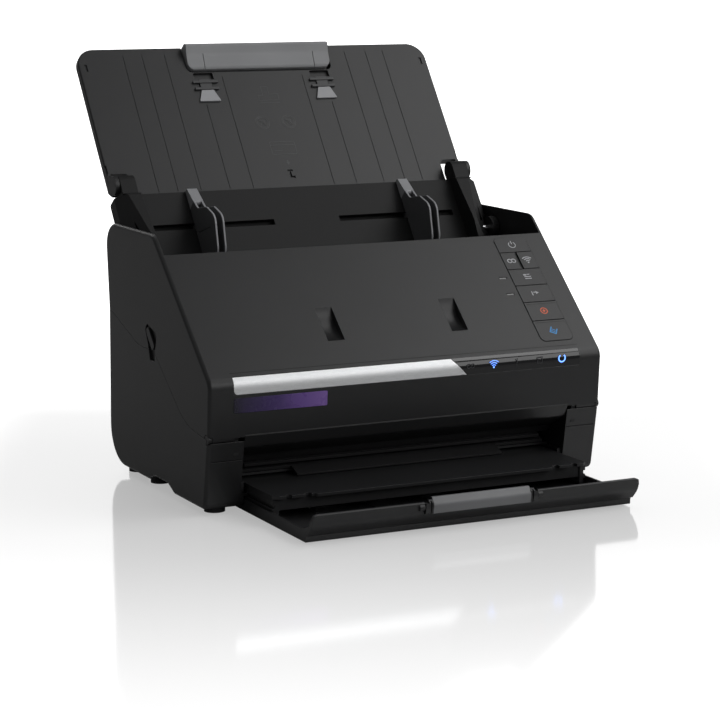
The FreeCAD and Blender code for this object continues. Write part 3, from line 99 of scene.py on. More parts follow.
def objectNoise(nodes, links, scale, detail, roughness=0.55, stretch=(1, 1, 1)):
    coords = nodes.new("ShaderNodeTexCoord")
    mapping = nodes.new("ShaderNodeMapping")
    mapping.inputs["Scale"].default_value = stretch
    noise = nodes.new("ShaderNodeTexNoise")
    noise.inputs["Scale"].default_value = scale
    noise.inputs["Detail"].default_value = detail
    noise.inputs["Roughness"].default_value = roughness
    links.new(coords.outputs["Object"], mapping.inputs["Vector"])
    links.new(mapping.outputs["Vector"], noise.inputs["Vector"])
    return noise.outputs["Fac"]


def mathNode(nodes, links, operation, first, second=None, third=None):
    node = nodes.new("ShaderNodeMath")
    node.operation = operation
    for socket, value in zip(node.inputs, (first, second, third)):
        if value is None:
            continue
        if isinstance(value, float):
            socket.default_value = value
        else:
            links.new(value, socket)
    return node.outputs[0]


def shade(colour, factor):
    return tuple(min(1.0, part * factor) for part in colour)


def shades(colour, factors):
    return [shade(colour, factor) for factor in factors]


def colourFrom(nodes, links, source, shader, low, high):
    # base colour that wanders between two tones
    blend = nodes.new("ShaderNodeValToRGB")
    for element, position, colour in zip(blend.color_ramp.elements, rampEnds, (low, high)):
        element.position = position
        element.color = (*colour, 1)
    links.new(source, blend.inputs["Fac"])
    links.new(blend.outputs["Color"], shader.inputs["Base Color"])
    return blend.outputs["Color"]


def roughnessFrom(nodes, links, source, shader, low, high):
    rough = nodes.new("ShaderNodeMapRange")
    rough.inputs["To Min"].default_value = low
    rough.inputs["To Max"].default_value = high
    links.new(source, rough.inputs["Value"])
    links.new(rough.outputs["Result"], shader.inputs["Roughness"])


def reliefFrom(nodes, links, source, shader, strength, depth, edge):
    # fine bump over softened edges; depth and edge are in mm
    bump = nodes.new("ShaderNodeBump")
    bump.inputs["Strength"].default_value = strength
    bump.inputs["Distance"].default_value = depth * mm
    links.new(source, bump.inputs["Height"])
    if edge > 0:
        bevel = nodes.new("ShaderNodeBevel")
        bevel.samples = bevelSamples
        bevel.inputs["Radius"].default_value = edge * mm
        links.new(bevel.outputs["Normal"], bump.inputs["Normal"])
    links.new(bump.outputs["Normal"], shader.inputs["Normal"])


# Moulded plastic: fine spark-eroded grain over faint flow clouds
plastic = {
    "clouds": 9.0, "cloudTones": (0.88, 1.12),
    "spread": 0.06,          # roughness to either side of its middle
    "depth": 0.06,
}


def moulded(name, colour, roughness, grain, grainScale, edge, specular=0.5):
    material, nodes, links, shader = newMaterial(name)
    cloud = objectNoise(nodes, links, plastic["clouds"], 3.0)
    colourFrom(nodes, links, cloud, shader, *shades(colour, plastic["cloudTones"]))
    fine = objectNoise(nodes, links, grainScale, 2.0, 0.6)
    spread = plastic["spread"]
    roughnessFrom(nodes, links, fine, shader, roughness - spread, roughness + spread)
    reliefFrom(nodes, links, fine, shader, grain, plastic["depth"], edge)
    shader.inputs["Specular IOR Level"].default_value = specular
    return material


# Rolled, turned or brushed metal: streaks along one axis
sheetMetal = {
    "tones": (0.82, 1.12),
    "spread": 0.08,
    "relief": 0.12, "depth": 0.04,
}


def metal(name, colour, roughness, brush, scale, edge=0.2, metallic=1.0):
    material, nodes, links, shader = newMaterial(name)
    shader.inputs["Metallic"].default_value = metallic
    streak = objectNoise(nodes, links, scale, 5.0, 0.7, brush)
    colourFrom(nodes, links, streak, shader, *shades(colour, sheetMetal["tones"]))
    spread = sheetMetal["spread"]
    roughnessFrom(nodes, links, streak, shader, roughness - spread, roughness + spread)
    reliefFrom(nodes, links, streak, shader, sheetMetal["relief"], sheetMetal["depth"], edge)
    return material


# Black window of the status strip, with the faintest ripple
windowLook = {
    "colour": (0.005, 0.005, 0.006), "tones": (0.9, 1.1), "roughness": 0.08,
    "ripple": 40.0, "relief": 0.02, "depth": 0.2, "edge": 0.3,
    "coat": 0.4, "coatRoughness": 0.04,
}


def windowMaterial():
    material, nodes, links, shader = newMaterial("blackWindow")
    ripple = objectNoise(nodes, links, windowLook["ripple"], 2.0)
    colourFrom(nodes, links, ripple, shader, *shades(windowLook["colour"], windowLook["tones"]))
    shader.inputs["Roughness"].default_value = windowLook["roughness"]
    reliefFrom(nodes, links, ripple, shader, windowLook["relief"], windowLook["depth"], windowLook["edge"])
    shader.inputs["Coat Weight"].default_value = windowLook["coat"]
    shader.inputs["Coat Roughness"].default_value = windowLook["coatRoughness"]
    return material


# Lit lamp symbols
lampLook = {
    "colour": (0.12, 0.28, 1.0), "tones": (0.85, 1.1),
    "speck": 900.0, "strength": 2.6, "roughness": 0.4,
}


def lampMaterial():
    material, nodes, links, shader = newMaterial("blueLamp")
    speck = objectNoise(nodes, links, lampLook["speck"], 2.0)
    tone = colourFrom(nodes, links, speck, shader, *shades(lampLook["colour"], lampLook["tones"]))
    links.new(tone, shader.inputs["Emission Color"])
    shader.inputs["Emission Strength"].default_value = lampLook["strength"]
    shader.inputs["Roughness"].default_value = lampLook["roughness"]
    return material


# Glass over the two scanning sensors
sensorGlass = {
    "tint": (0.62, 0.72, 0.72), "clear": 0.85, "index": 1.5,
    "dust": 300.0, "haze": (0.02, 0.08),
}


def glassMaterial():
    material, nodes, links, shader = newMaterial("sensorGlass")
    dust = objectNoise(nodes, links, sensorGlass["dust"], 2.0)
    roughnessFrom(nodes, links, dust, shader, *sensorGlass["haze"])
    shader.inputs["Base Color"].default_value = (*sensorGlass["tint"], 1)
    shader.inputs["Transmission Weight"].default_value = sensorGlass["clear"]
    shader.inputs["IOR"].default_value = sensorGlass["index"]
    return material


# Screen ink of the printed signs, slightly mottled
inkLook = {"mottle": 1500.0, "tones": (0.88, 1.08)}


def ink(name, colour, roughness=0.45):
    material, nodes, links, shader = newMaterial(name)
    mottle = objectNoise(nodes, links, inkLook["mottle"], 3.0)
    colourFrom(nodes, links, mottle, shader, *shades(colour, inkLook["tones"]))
    shader.inputs["Roughness"].default_value = roughness
    return material


# Every finish: moulded takes colour, roughness, grain, grain scale and softened edge in mm,
# metal takes colour, roughness, stretch of its streaks, their scale, edge and how metallic it is
shellColour = (0.0135, 0.0137, 0.0145)
materials = {
    "shell": moulded("satinShell", shellColour, 0.4, 0.5, 2600, 0.5),
    "housing": moulded("satinHousing", shade(shellColour, 0.9), 0.45, 0.5, 2600, 0.5),
    "tray": moulded("satinTray", shade(shellColour, 1.25), 0.42, 0.4, 2400, 0.4),
    "inner": moulded("mattInner", (0.02, 0.02, 0.021), 0.5, 0.3, 1800, 0.25),
    "key": moulded("keyPlastic", shade(shellColour, 1.2), 0.4, 0.4, 2800, 0.25),
    "bed": moulded("mattBed", (0.0105, 0.0106, 0.011), 0.58, 0.5, 2000, 0.3, specular=0.3),
    "guide": moulded("guideGrey", (0.1, 0.102, 0.107), 0.4, 0.3, 2200, 0.3),
    # pale grey: the guides' own tab, and a painted highlight on the fins' rims
    "guideTabAndRimHighlight": moulded("guidePaleAndRimHighlight", (0.34, 0.345, 0.36), 0.38, 0.25, 2200, 0.3),
    "grip": moulded("greyGrip", (0.19, 0.193, 0.2), 0.42, 0.3, 2200, 0.5),
    "pullGrip": moulded("paleGrip", (0.27, 0.274, 0.283), 0.38, 0.3, 2200, 0.5),
    "tab": moulded("paleTab", (0.4, 0.405, 0.42), 0.45, 0.25, 2200, 0.3),
    "tabBar": moulded("darkBar", (0.05, 0.051, 0.053), 0.42, 0.25, 2200, 0.2),
    "rubber": moulded("rollerRubber", (0.03, 0.03, 0.032), 0.75, 0.6, 900, 0.4),
    "gear": moulded("gearPlastic", (0.6, 0.59, 0.55), 0.4, 0.15, 1500, 0.15),
    "board": moulded("circuitBoard", (0.012, 0.085, 0.04), 0.4, 0.2, 1200, 0.1),
    # painted shade: the deck under the paper path is near black, so its front edge stays dark in the sheet
    # exit
    "painted": moulded("nearBlackDeckShade", (0.014, 0.014, 0.015), 0.38, 0.25, 1400, 0.2),
    "emboss": moulded("embossedLine", (0.045, 0.0455, 0.047), 0.36, 0.2, 2400, 0.05),
    # near black: painted shade lines in the key column's gaps and along the top of the status strip
    "paintedSeamShade": moulded("seamShadow", (0.002, 0.002, 0.002), 0.7, 0.2, 1800, 0.0),
    "motor": metal("motorCan", (0.42, 0.43, 0.45), 0.38, (60, 1, 1), 60),
    "steel": metal("platedSteel", (0.5, 0.51, 0.53), 0.35, (60, 1, 60), 50),
    "pin": metal("turnedPin", (0.6, 0.6, 0.62), 0.22, (200, 1, 1), 30),
    "screw": metal("zincScrew", (0.3, 0.3, 0.31), 0.3, (40, 40, 40), 60),
    "brass": metal("sinteredBush", (0.55, 0.42, 0.22), 0.5, (30, 30, 30), 60),
    "silver": metal("brushedPlate", (0.88, 0.89, 0.91), 0.48, (2, 90, 90), 120, 0.25, 0.7),
    "window": windowMaterial(),
    "lamp": lampMaterial(),
    "glass": glassMaterial(),
    "whiteInk": ink("whiteInk", (0.5, 0.51, 0.53)),
    "orangeInk": ink("orangeInk", (0.75, 0.13, 0.045)),
    "blueInk": ink("blueInk", (0.06, 0.38, 0.85)),
    "dimInk": ink("dimInk", (0.04, 0.042, 0.046), 0.3),
}

# Finish of each node; the key caps, axles and gears go by their names
finishOf = {
    "base_casing": "shell", "rubber_feet": "rubber", "under_floor": "painted", "rear_housing": "housing",
    "side_frame_left": "steel", "side_frame_right": "steel", "lower_guide": "inner", "rear_sensor": "inner",
    "rear_sensor_glass": "glass", "motor": "motor", "main_board": "board", "power_socket": "inner",
    "usb_socket": "pin", "tray_pivot_pins": "pin", "cover_hinge_pins": "pin", "roller_bushes": "brass",
    "cover_shell": "shell", "cover_inner_guide": "inner", "front_sensor": "inner",
    "front_sensor_glass": "glass", "status_window": "window", "silver_plate": "silver",
    "button_board": "board", "separation_roller": "rubber", "feed_idlers": "gear", "eject_idlers": "gear",
    "cover_latch": "key", "feed_tray": "bed", "guide_left": "guide", "guide_right": "guide",
    "guide_pinion": "gear", "tray_lid": "tray", "lid_pins": "pin", "lid_tabs": "tab",
    "lid_extension": "inner", "extension_grip": "pullGrip", "output_tray": "tray",
    "output_extension": "tray", "output_stopper": "grip", "feed_roller": "rubber",
    "pickup_roller": "rubber", "eject_roller": "rubber", "motor_shaft": "pin",
}
for name, node in frame["nodes"].items():
    finish = finishOf.get(name)
    if finish is None:
        finish = "key" if name.startswith("key_") else "pin" if name.endswith("_axle") else "gear"
    node.data.materials.clear()
    node.data.materials.append(materials[finish])
    for polygon in node.data.polygons:
        polygon.material_index = 0


# Second finishes on single faces, in mm along the tray or over the panel
paintLines = {
    "lightTop": -6.0,            # the lights' tops stand over the button board
    "stopperFlap": 35.35,        # the grey flap ends here, its arms are black
    "guideTab": -14.2,           # lower tab of each guide
    "rimHighlightFacing": 0.3,          # faces turned further sideways than this keep the guide's own grey; the fins' rims, turned less, take the pale grey as a painted highlight
    "tabLeaf": 88.1,             # the pale leaf of each sheet tab ends here
}


def repaint(name, finish, chosen):
    # faces whose middle and direction, in the frame, pass the test take a second finish
    node = frame["nodes"][name]
    node.data.materials.append(materials[finish])
    slotIndex = len(node.data.materials) - 1
    for polygon in node.data.polygons:
        if chosen(node.matrix_world @ polygon.center, node.matrix_world.to_3x3() @ polygon.normal):
            polygon.material_index = slotIndex


def upTray(point):
    return (trayPlane().inverted() @ point).y / mm


def offPanel(point):
    return (slopePlane().inverted() @ point).z / mm


def isGuideTabOrRimHighlight(at, facing):
    return upTray(at) > paintLines["guideTab"] or abs(facing.x) < paintLines["rimHighlightFacing"]


repaint("output_stopper", "key", lambda at, facing: abs(at.x) > paintLines["stopperFlap"] * mm)
# the pale tab of each guide is its own colour; the pale rims of its fins are painted highlight
for side in ("guide_left", "guide_right"):
    repaint(side, "guideTabAndRimHighlight", isGuideTabOrRimHighlight)
repaint("button_board", "window", lambda at, facing: offPanel(at) > paintLines["lightTop"])
repaint("lid_tabs", "tabBar", lambda at, facing: upTray(at) > paintLines["tabLeaf"])
print("materials set on", len(frame["nodes"]), "nodes")


# Helpers for the meshes

tiny = 1e-6
sharpest = 0.35      # keeps the mitre of a sharp corner short


def addPiece(name, mesh, finish, body):
    piece = bpy.data.objects.new(name, mesh)
    bpy.context.scene.collection.objects.link(piece)
    mesh.materials.append(materials[finish])
    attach(piece, body)
    return piece


def arc(centre, radius, start, end, steps):
    points = []
    for i in range(steps + 1):
        angle = math.radians(start + (end - start) * i / steps)
        points.append((centre[0] + radius * math.cos(angle), centre[1] + radius * math.sin(angle)))
    return points


def box(x0, x1, y0, y1):
    return [(x0, y0), (x1, y0), (x1, y1), (x0, y1)]


def roundedBox(x0, x1, y0, y1, high, low, steps):
    # high and low are the corner radii along the upper and the lower edge
    corners = (((x1 - high, y1 - high), high, 0), ((x0 + high, y1 - high), high, 90),
               ((x0 + low, y0 + low), low, 180), ((x1 - low, y0 + low), low, 270))
    return sum((arc(centre, radius, start, start + 90, steps) for centre, radius, start in corners), [])


def stroke(points, width, closed=False):
    # outlines of the quads that make a line of even width, mitred at its corners
    count = len(points)
    sides = []
    for i, here in enumerate(points):
        before = points[i - 1] if closed or i else points[i]
        after = points[(i + 1) % count] if closed or i < count - 1 else points[i]
        first = Vector((here[0] - before[0], here[1] - before[1]))
        second = Vector((after[0] - here[0], after[1] - here[1]))
        first = first.normalized() if first.length > tiny else second.normalized()
        second = second.normalized() if second.length > tiny else first
        across = Vector((-first.y, first.x))
        left = Vector((-first.y - second.y, first.x + second.x))
        left = left.normalized() if left.length > tiny else across
        reach = width / 2 / max(sharpest, left.dot(across))
        sides.append(((here[0] + left.x * reach, here[1] + left.y * reach),
                      (here[0] - left.x * reach, here[1] - left.y * reach)))
    quads = []
    for i in range(count if closed else count - 1):
        a, b = sides[i], sides[(i + 1) % count]
        quads.append([a[0], a[1], b[1], b[0]])
    return quads


def moved(outlines, dx, dy, scale=1.0):
    return [[(x * scale + dx, y * scale + dy) for x, y in outline] for outline in outlines]


def signPiece(name, outlines, place, finish, body, thickness):
    # flat shapes given as outlines in mm, thickened into plates and laid on a plane
    verts, faces = [], []
    for outline in outlines:
        base = len(verts)
        count = len(outline)
        for height in (0.0, thickness * mm):
            verts.extend((x * mm, y * mm, height) for x, y in outline)
        faces.append(tuple(base + i for i in reversed(range(count))))
        faces.append(tuple(base + count + i for i in range(count)))
        for i in range(count):
            j = (i + 1) % count
            faces.append((base + i, base + j, base + count + j, base + count + i))
    mesh = bpy.data.meshes.new(name)
    mesh.from_pydata(verts, [], faces)
    mesh.validate()
    bm = bmesh.new()
    bm.from_mesh(mesh)
    bmesh.ops.recalc_face_normals(bm, faces=bm.faces)
    bm.to_mesh(mesh)
    bm.free()
    mesh.transform(place)
    return addPiece(name, mesh, finish, body)


# Printed signs on the keys
keySigns = {
    "lift": 0.402,          # top of the keys over the panel, mm
    "ink": 0.04,
    "line": 0.5,
    "scale": 1.25,
    "column": 118.15,       # middle of the key column
    "rows": {"key_power": 10.0, "key_mode": 24.8, "key_link": 24.8, "key_sheets": 40.3,
             "key_feed": 55.6, "key_stop": 71.7, "key_start": 89.4},
    "x": {"key_mode": 111.7, "key_link": 124.6},
}


def powerSign(line):
    return stroke(arc((0, 0), 2.1, 125, 415, 24), line) + stroke([(0, 0.4), (0, 2.9)], line)


def linkSign(line):
    # two linked loops
    loops = [stroke(arc((x, 0), 1.25, 0, 360, 24), line * 1.25) for x in (-1.25, 1.25)]
    return sum(loops, [])


def wavesSign(line):
    # three arcs over a dot
    arcs = [stroke(arc((0, -2.2), radius, 48, 132, 14), line * 1.15) for radius in (1.75, 3.05, 4.35)]
    return sum(arcs, []) + [arc((0, -1.9), 0.55, 0, 330, 10)]


def sheetsSign():
    # two lines of a sheet with two blocks over them
    return [box(-1.9, 2.3, -1.5, -0.9), box(-1.9, 2.3, -0.1, 0.5),
            box(-2.1, -0.3, 1.0, 2.1), box(0.1, 1.9, 1.6, 2.1)]


def feedSign():
    # a stop bar, a dash and an arrow head
    return [box(-2.3, -1.7, -1.4, 1.6), box(-1.1, 0.3, 0.5, 1.1), [(0.4, -0.6), (2.3, 0.5), (0.4, 1.6)]]


def stopSign(line):
    # a ring with a small tilted block
    block = [(-0.2, -1.15), (1.0, -0.1), (0.2, 1.15), (-1.0, 0.1)]
    return stroke(arc((0, 0), 2.0, 0, 360, 28), line * 1.3) + [block]


def startSign(line):
    # a tilted sheet, drawn as an open diamond with two lines in it
    edges = [(-0.4, 2.5), (-2.5, -0.9), (0.6, -2.6), (2.6, 0.7)]
    rules = [[(-1.25, 1.1), (1.75, -0.55)], [(-1.85, 0.1), (1.1, -1.6)]]
    return stroke(edges, line * 1.2) + sum((stroke(rule, line * 0.9) for rule in rules), [])


def addKeySigns():
    line = keySigns["line"]
    shapes = {"key_power": (powerSign(line), "whiteInk"), "key_mode": (linkSign(line), "whiteInk"),
              "key_link": (wavesSign(line), "whiteInk"), "key_sheets": (sheetsSign(), "whiteInk"),
              "key_feed": (feedSign(), "whiteInk"), "key_stop": (stopSign(line), "orangeInk"),
              "key_start": (startSign(line), "blueInk")}
    for key, (shape, finish) in shapes.items():
        x = keySigns["x"].get(key, keySigns["column"])
        outlines = moved(shape, x, -keySigns["rows"][key], keySigns["scale"])
        place = slopePlane(keySigns["lift"])
        signPiece("sign_" + key, outlines, place, finish, key + "_cap", keySigns["ink"])


addKeySigns()


# Painted shade lines in the gaps of the key column: its outline, a wide divider and the second line over two
# keys
keyShadeLines = {
    "left": 105.3, "right": 131.0, "top": 3.4, "foot": 98.3,
    "gap": 0.22,                                 # outline stands this far outside the keys
    "outline": 0.42, "outlineThick": 0.04, "sunk": 0.02,
    "corners": (3.2, 4.2), "cornerSteps": 8,     # radii of the upper and the lower corners
    "divider": (117.05, 18.2, 31.6, 0.95),       # x, upper and lower end, width
    "dividerThick": 0.03,
    "doubled": {"key_stop": 65.3, "key_start": 82.1},
    "inset": 1.0, "fine": 0.3, "fineThick": 0.02,
}


def addKeyShadeLines():
    gap = keyShadeLines["gap"]
    outline = roundedBox(keyShadeLines["left"] - gap, keyShadeLines["right"] + gap,
                         -keyShadeLines["foot"] - gap, -keyShadeLines["top"] + gap,
                         *keyShadeLines["corners"], keyShadeLines["cornerSteps"])
    signPiece("key_column_shade_line", stroke(outline, keyShadeLines["outline"], True), slopePlane(-keyShadeLines["sunk"]),
              "paintedSeamShade", "cover", keyShadeLines["outlineThick"])
    onKeys = slopePlane(keySigns["lift"])
    x, start, end, width = keyShadeLines["divider"]
    signPiece("key_divider_shade", stroke([(x, -start), (x, -end)], width), onKeys,
              "paintedSeamShade", "key_mode_cap", keyShadeLines["dividerThick"])
    for key, at in keyShadeLines["doubled"].items():
        ends = [(keyShadeLines["left"] + keyShadeLines["inset"], -at), (keyShadeLines["right"] - keyShadeLines["inset"], -at)]
        signPiece("shade_line_" + key, stroke(ends, keyShadeLines["fine"]), onKeys,
                  "paintedSeamShade", key + "_cap", keyShadeLines["fineThick"])


addKeyShadeLines()
print("key signs printed")


# Lamp symbols in the status window
lampSigns = {
    "z": 86.6,
    "out": 0.02,            # symbols lie on the window's face, mm
    "ink": 0.03,
    "line": 0.34, "scale": 1.15,
    "places": {"link": 44.0, "waves": 62.0, "caution": 80.0, "paper": 98.3, "ready": 115.9},
}


def ringSign():
    return stroke(arc((0, 0), 2.2, 125, 415, 28), 0.8)


def paperSign():
    return stroke(box(-1.6, 1.6, -1.9, 1.9), 0.4, True) + stroke([(-0.8, 0.4), (0.8, 0.4)], 0.35)


def cautionSign():
    return [box(-0.3, 0.3, -0.7, 2.4), box(-0.3, 0.3, -1.9, -1.3)]


def addLampSigns():
    line = lampSigns["line"]
    shapes = {"link": (linkSign(line), "dimInk"), "waves": (wavesSign(line), "lamp"),
              "caution": (cautionSign(), "dimInk"), "paper": (paperSign(), "dimInk"),
              "ready": (ringSign(), "lamp")}
    for key, (shape, finish) in shapes.items():
        place = frontPlane(lampSigns["places"][key], lampSigns["z"], lampSigns["out"])
        outlines = moved(shape, 0, 0, lampSigns["scale"])
        signPiece("lamp_" + key, outlines, place, finish, "cover", lampSigns["ink"])


addLampSigns()
print("lamp symbols set")


# Violet foil label under the silver strip
badge = {
    "x": (-130.3, -63.4), "z": (68.7, 78.6),
    "corner": 0.8, "cornerSteps": 6, "thick": 0.3, "sunk": 0.02,
    "rim": 0.12, "rimSegments": 3,
    "tones": ((0.0, (0.006, 0.004, 0.02)), (0.42, (0.05, 0.022, 0.14)),
              (0.75, (0.16, 0.08, 0.34)), (1.0, (0.24, 0.13, 0.45))),     # from the left end to the right
    "clouds": 60.0, "drift": 0.24,     # faint clouds shift the tones by up to half of this either way
    "polish": (0.2, 0.34),
}


def badgeMaterial():
    # deep violet at the left end, paler to the right
    material, nodes, links, shader = newMaterial("violetFoil")
    coords = nodes.new("ShaderNodeTexCoord")
    split = nodes.new("ShaderNodeSeparateXYZ")
    links.new(coords.outputs["Object"], split.inputs["Vector"])
    place = nodes.new("ShaderNodeMapRange")
    for socket, x in zip(("From Min", "From Max"), badge["x"]):
        place.inputs[socket].default_value = x * mm
    links.new(split.outputs["X"], place.inputs["Value"])
    blend = nodes.new("ShaderNodeValToRGB")
    elements = blend.color_ramp.elements
    elements[0].color = (*badge["tones"][0][1], 1)
    elements[1].color = (*badge["tones"][-1][1], 1)
    for position, colour in badge["tones"][1:-1]:
        elements.new(position).color = (*colour, 1)
    cloud = objectNoise(nodes, links, badge["clouds"], 3.0)
    along = mathNode(nodes, links, "SUBTRACT", place.outputs["Result"], badge["drift"] / 2)
    along = mathNode(nodes, links, "MULTIPLY_ADD", cloud, badge["drift"], along)
    links.new(along, blend.inputs["Fac"])
    links.new(blend.outputs["Color"], shader.inputs["Base Color"])
    roughnessFrom(nodes, links, cloud, shader, *badge["polish"])
    return material


def addBadge():
    materials["badge"] = badgeMaterial()
    low, high = badge["z"]
    outline = roundedBox(*badge["x"], low - high, 0.0, badge["corner"], badge["corner"], badge["cornerSteps"])
    place = frontPlane(0, high, -badge["sunk"])
    piece = signPiece("foil_label", [outline], place, "badge", "cover", badge["thick"])
    rim = piece.modifiers.new("rim", "BEVEL")
    rim.width = badge["rim"] * mm
    rim.segments = badge["rimSegments"]
    rim.limit_method = "ANGLE"


addBadge()


# Raised paper signs moulded into the lid
lidSigns = {
    "line": 0.5, "thick": 0.12, "sunk": 0.02,
    "places": {"page": (0.0, 81.5), "noStaple": (-10.6, 59.0), "noClip": (10.6, 59.0),
               "card": (0.0, 36.5), "arrow": (0.4, 23.6)},
}


def pageSign(line):
    # a page with a stepped corner, over the edge of the next one
    page = [(-4.2, 8.5), (1.0, 8.5), (1.0, 2.0), (8.0, 2.0),
            (8.0, -3.4), (-8.0, -3.4), (-8.0, 1.0), (-4.2, 1.0)]
    return stroke(page, line, True) + stroke([(-8.0, -5.6), (8.0, -5.6)], line)


def slashedSign(line):
    # a clip crossed out in a double ring
    loop = stroke(arc((0, 0), 5.5, 0, 360, 36), line) + stroke(arc((0, 0), 4.4, 0, 360, 32), line)
    bar = stroke([(-2.7, 3.4), (3.4, -2.7)], line) + stroke([(-3.4, 2.7), (2.7, -3.4)], line)
    clip = stroke([(-1.6, -2.4), (-1.6, 1.8), (1.6, 1.8), (1.6, -1.6)], line)
    return loop + bar + clip


def cardSign(line):
    card = stroke(roundedBox(-10.0, 10.0, -5.4, 5.4, 1.2, 1.2, 6), line, True)
    return card + stroke([(-10.0, 2.4), (10.0, 2.4)], line) + stroke([(-7.5, -2.2), (-1.5, -2.2)], line)


def arrowSign():
    return [[(-1.6, 0.8), (1.6, 0.8), (0.0, -2.2)], box(-0.5, 0.5, 0.8, 2.4)]


def addLidSigns():
    line = lidSigns["line"]
    shapes = {"arrow": arrowSign(), "page": pageSign(line), "noStaple": slashedSign(line),
              "noClip": slashedSign(line), "card": cardSign(line)}
    place = trayPlane(drawing["lidFace"] - lidSigns["sunk"])
    for key, shape in shapes.items():
        outlines = moved(shape, *lidSigns["places"][key])
        signPiece("lid_sign_" + key, outlines, place, "emboss", "lid", lidSigns["thick"])


addLidSigns()


# Painted shadow line along the top of the status strip, on the slope, where the casing turns over the strip
# and shades it
seam = {"top": 94.35, "end": 131.3, "width": 0.4, "out": 0.012, "thick": 0.02}


def addStripShadowLine():
    noseY, noseZ = drawing["nose"]
    y = (seam["top"] - noseZ) / math.tan(math.radians(drawing["slope"])) + noseY
    place = tilted(0, y, seam["top"], drawing["slope"], seam["out"])
    line = stroke([(-seam["end"], 0), (seam["end"], 0)], seam["width"])
    signPiece("strip_shadow_line", line, place, "paintedSeamShade", "cover", seam["thick"])


addStripShadowLine()
print("label, seam and lid signs placed")


# Screws under the base and on the back
screws = {
    "radius": 3.1, "dome": 0.9, "sink": 0.15, "sides": 24,
    "profile": ((1.0, 0.0), (0.97, 0.45), (0.82, 0.85), (0.66, 1.0)),   # shares of radius and dome
    "cross": (0.48, 0.13),           # reach and half width of the cross, as shares of the radius
    "hollow": (0.8, 0.2),            # the cross's floor: its size, and its height as a share of the dome
    "under": ((-112.0, 60.0), (112.0, 60.0), (-112.0, 140.0), (112.0, 140.0)),
    "back": ((-118.0, 92.0), (118.0, 92.0), (80.0, 42.0)),
    "start": {"under": -20.0, "back": 260.0},   # screws are dropped from here, z and y
}


def crossRecess(reach, wide):
    return [(wide, wide), (wide, reach), (-wide, reach), (-wide, wide), (-reach, wide), (-reach, -wide),
            (-wide, -wide), (-wide, -reach), (wide, -reach), (wide, -wide), (reach, -wide), (reach, wide)]


def screwMesh(bm):
    # domed head with a cross-shaped hollow
    radius, dome, sides = screws["radius"], screws["dome"], screws["sides"]
    rings = []
    for share, height in screws["profile"]:
        points = arc((0, 0), radius * share, 0, 360 - 360 / sides, sides - 1)
        rings.append([bm.verts.new((x * mm, y * mm, height * dome * mm)) for x, y in points])
    for low, high in zip(rings, rings[1:]):
        for i in range(sides):
            j = (i + 1) % sides
            bm.faces.new((low[i], low[j], high[j], high[i]))
    reach, wide = screws["cross"]
    narrower, floor = screws["hollow"]
    cross = [bm.verts.new((x * mm, y * mm, dome * mm)) for x, y in crossRecess(radius * reach, radius * wide)]
    sunk = [bm.verts.new((v.co.x * narrower, v.co.y * narrower, dome * mm * floor)) for v in cross]
    edges = []
    for ring in (rings[-1], cross):
        for i, vert in enumerate(ring):
            after = ring[(i + 1) % len(ring)]
            edges.append(bm.edges.get((vert, after)) or bm.edges.new((vert, after)))
    bmesh.ops.triangle_fill(bm, use_beauty=True, use_dissolve=False, edges=edges)
    for i in range(len(cross)):
        j = (i + 1) % len(cross)
        bm.faces.new((cross[i], cross[j], sunk[j], sunk[i]))
    bm.faces.new(sunk)
    bmesh.ops.recalc_face_normals(bm, faces=bm.faces)


def addScrew(name, nodeName, start, heading):
    # dropped on to the node's surface along the heading
    node = frame["nodes"][nodeName]
    back = node.matrix_world.inverted()
    hit, at, facing, index = node.ray_cast(back @ start, (back.to_3x3() @ heading).normalized())
    if not hit:
        print("no seat for", name)
        return
    facing = (node.matrix_world.to_3x3() @ facing).normalized()
    mesh = bpy.data.meshes.new(name)
    bm = bmesh.new()
    screwMesh(bm)
    bm.to_mesh(mesh)
    bm.free()
    turn = facing.to_track_quat("Z", "Y").to_matrix().to_4x4()
    seat = node.matrix_world @ at - facing * screws["sink"] * mm
    mesh.transform(Matrix.Translation(seat) @ turn)
    addPiece(name, mesh, "screw", "base")


for index, (x, y) in enumerate(screws["under"]):
    start = spot(x, y, screws["start"]["under"])
    addScrew("under_screw_%d" % index, "under_floor", start, Vector((0, 0, 1)))
for index, (x, z) in enumerate(screws["back"]):
    start = spot(x, screws["start"]["back"], z)
    addScrew("back_screw_%d" % index, "base_casing", start, Vector((0, -1, 0)))
print("screws seated")


# Light, floor and camera
studio = {
    "camera": (-722.3, -1379.7, 362.8),   # in the drawing's own millimetres
    "pitch": 9.8, "yaw": 26.35, "lens": 118.0, "sensor": 36.0, "reach": 100,
    "floor": 40.0, "below": 0.3,          # side in metres, and mm under the feet
    "tones": (0.54, 0.56), "polish": 0.08, "gloss": 2.4,
    # the main camera's direction over the table: the table's dim patch and the world's bright sector
    # are laid along it, so both fit the main view only
    "sight": (0.444, 0.896),
    # edges of the dim patch: from and to, in metres ahead or beside, and the share of dimming at each
    "rear": (-0.4, -0.2, 0.0, 1.0), "fade": (0.1, 0.66, 1.0, 0.25), "flank": (0.24, 0.4, 1.0, 0.0),
    "dimmed": 0.6,
    "backdrop": (0.82, 0.91), "ambient": 0.15,
    "lamps": (      # name, place, target, size and power
        ("keyLight", (1.6, -0.6, 1.85), (0, 0, 0.1), (1.4, 1.6), 18),
        ("frontLight", (0.95, -1.75, 1.15), (0, 0, 0.08), (1.8, 1.0), 11),
        ("topLight", (-0.5, 0.5, 2.2), (0, 0, 0.15), (1.6, 1.2), 2.5),
        ("backLight", (0.0, 2.3, 1.7), (0, 0, 0.15), (1.8, 1.0), 12),
    ),
}


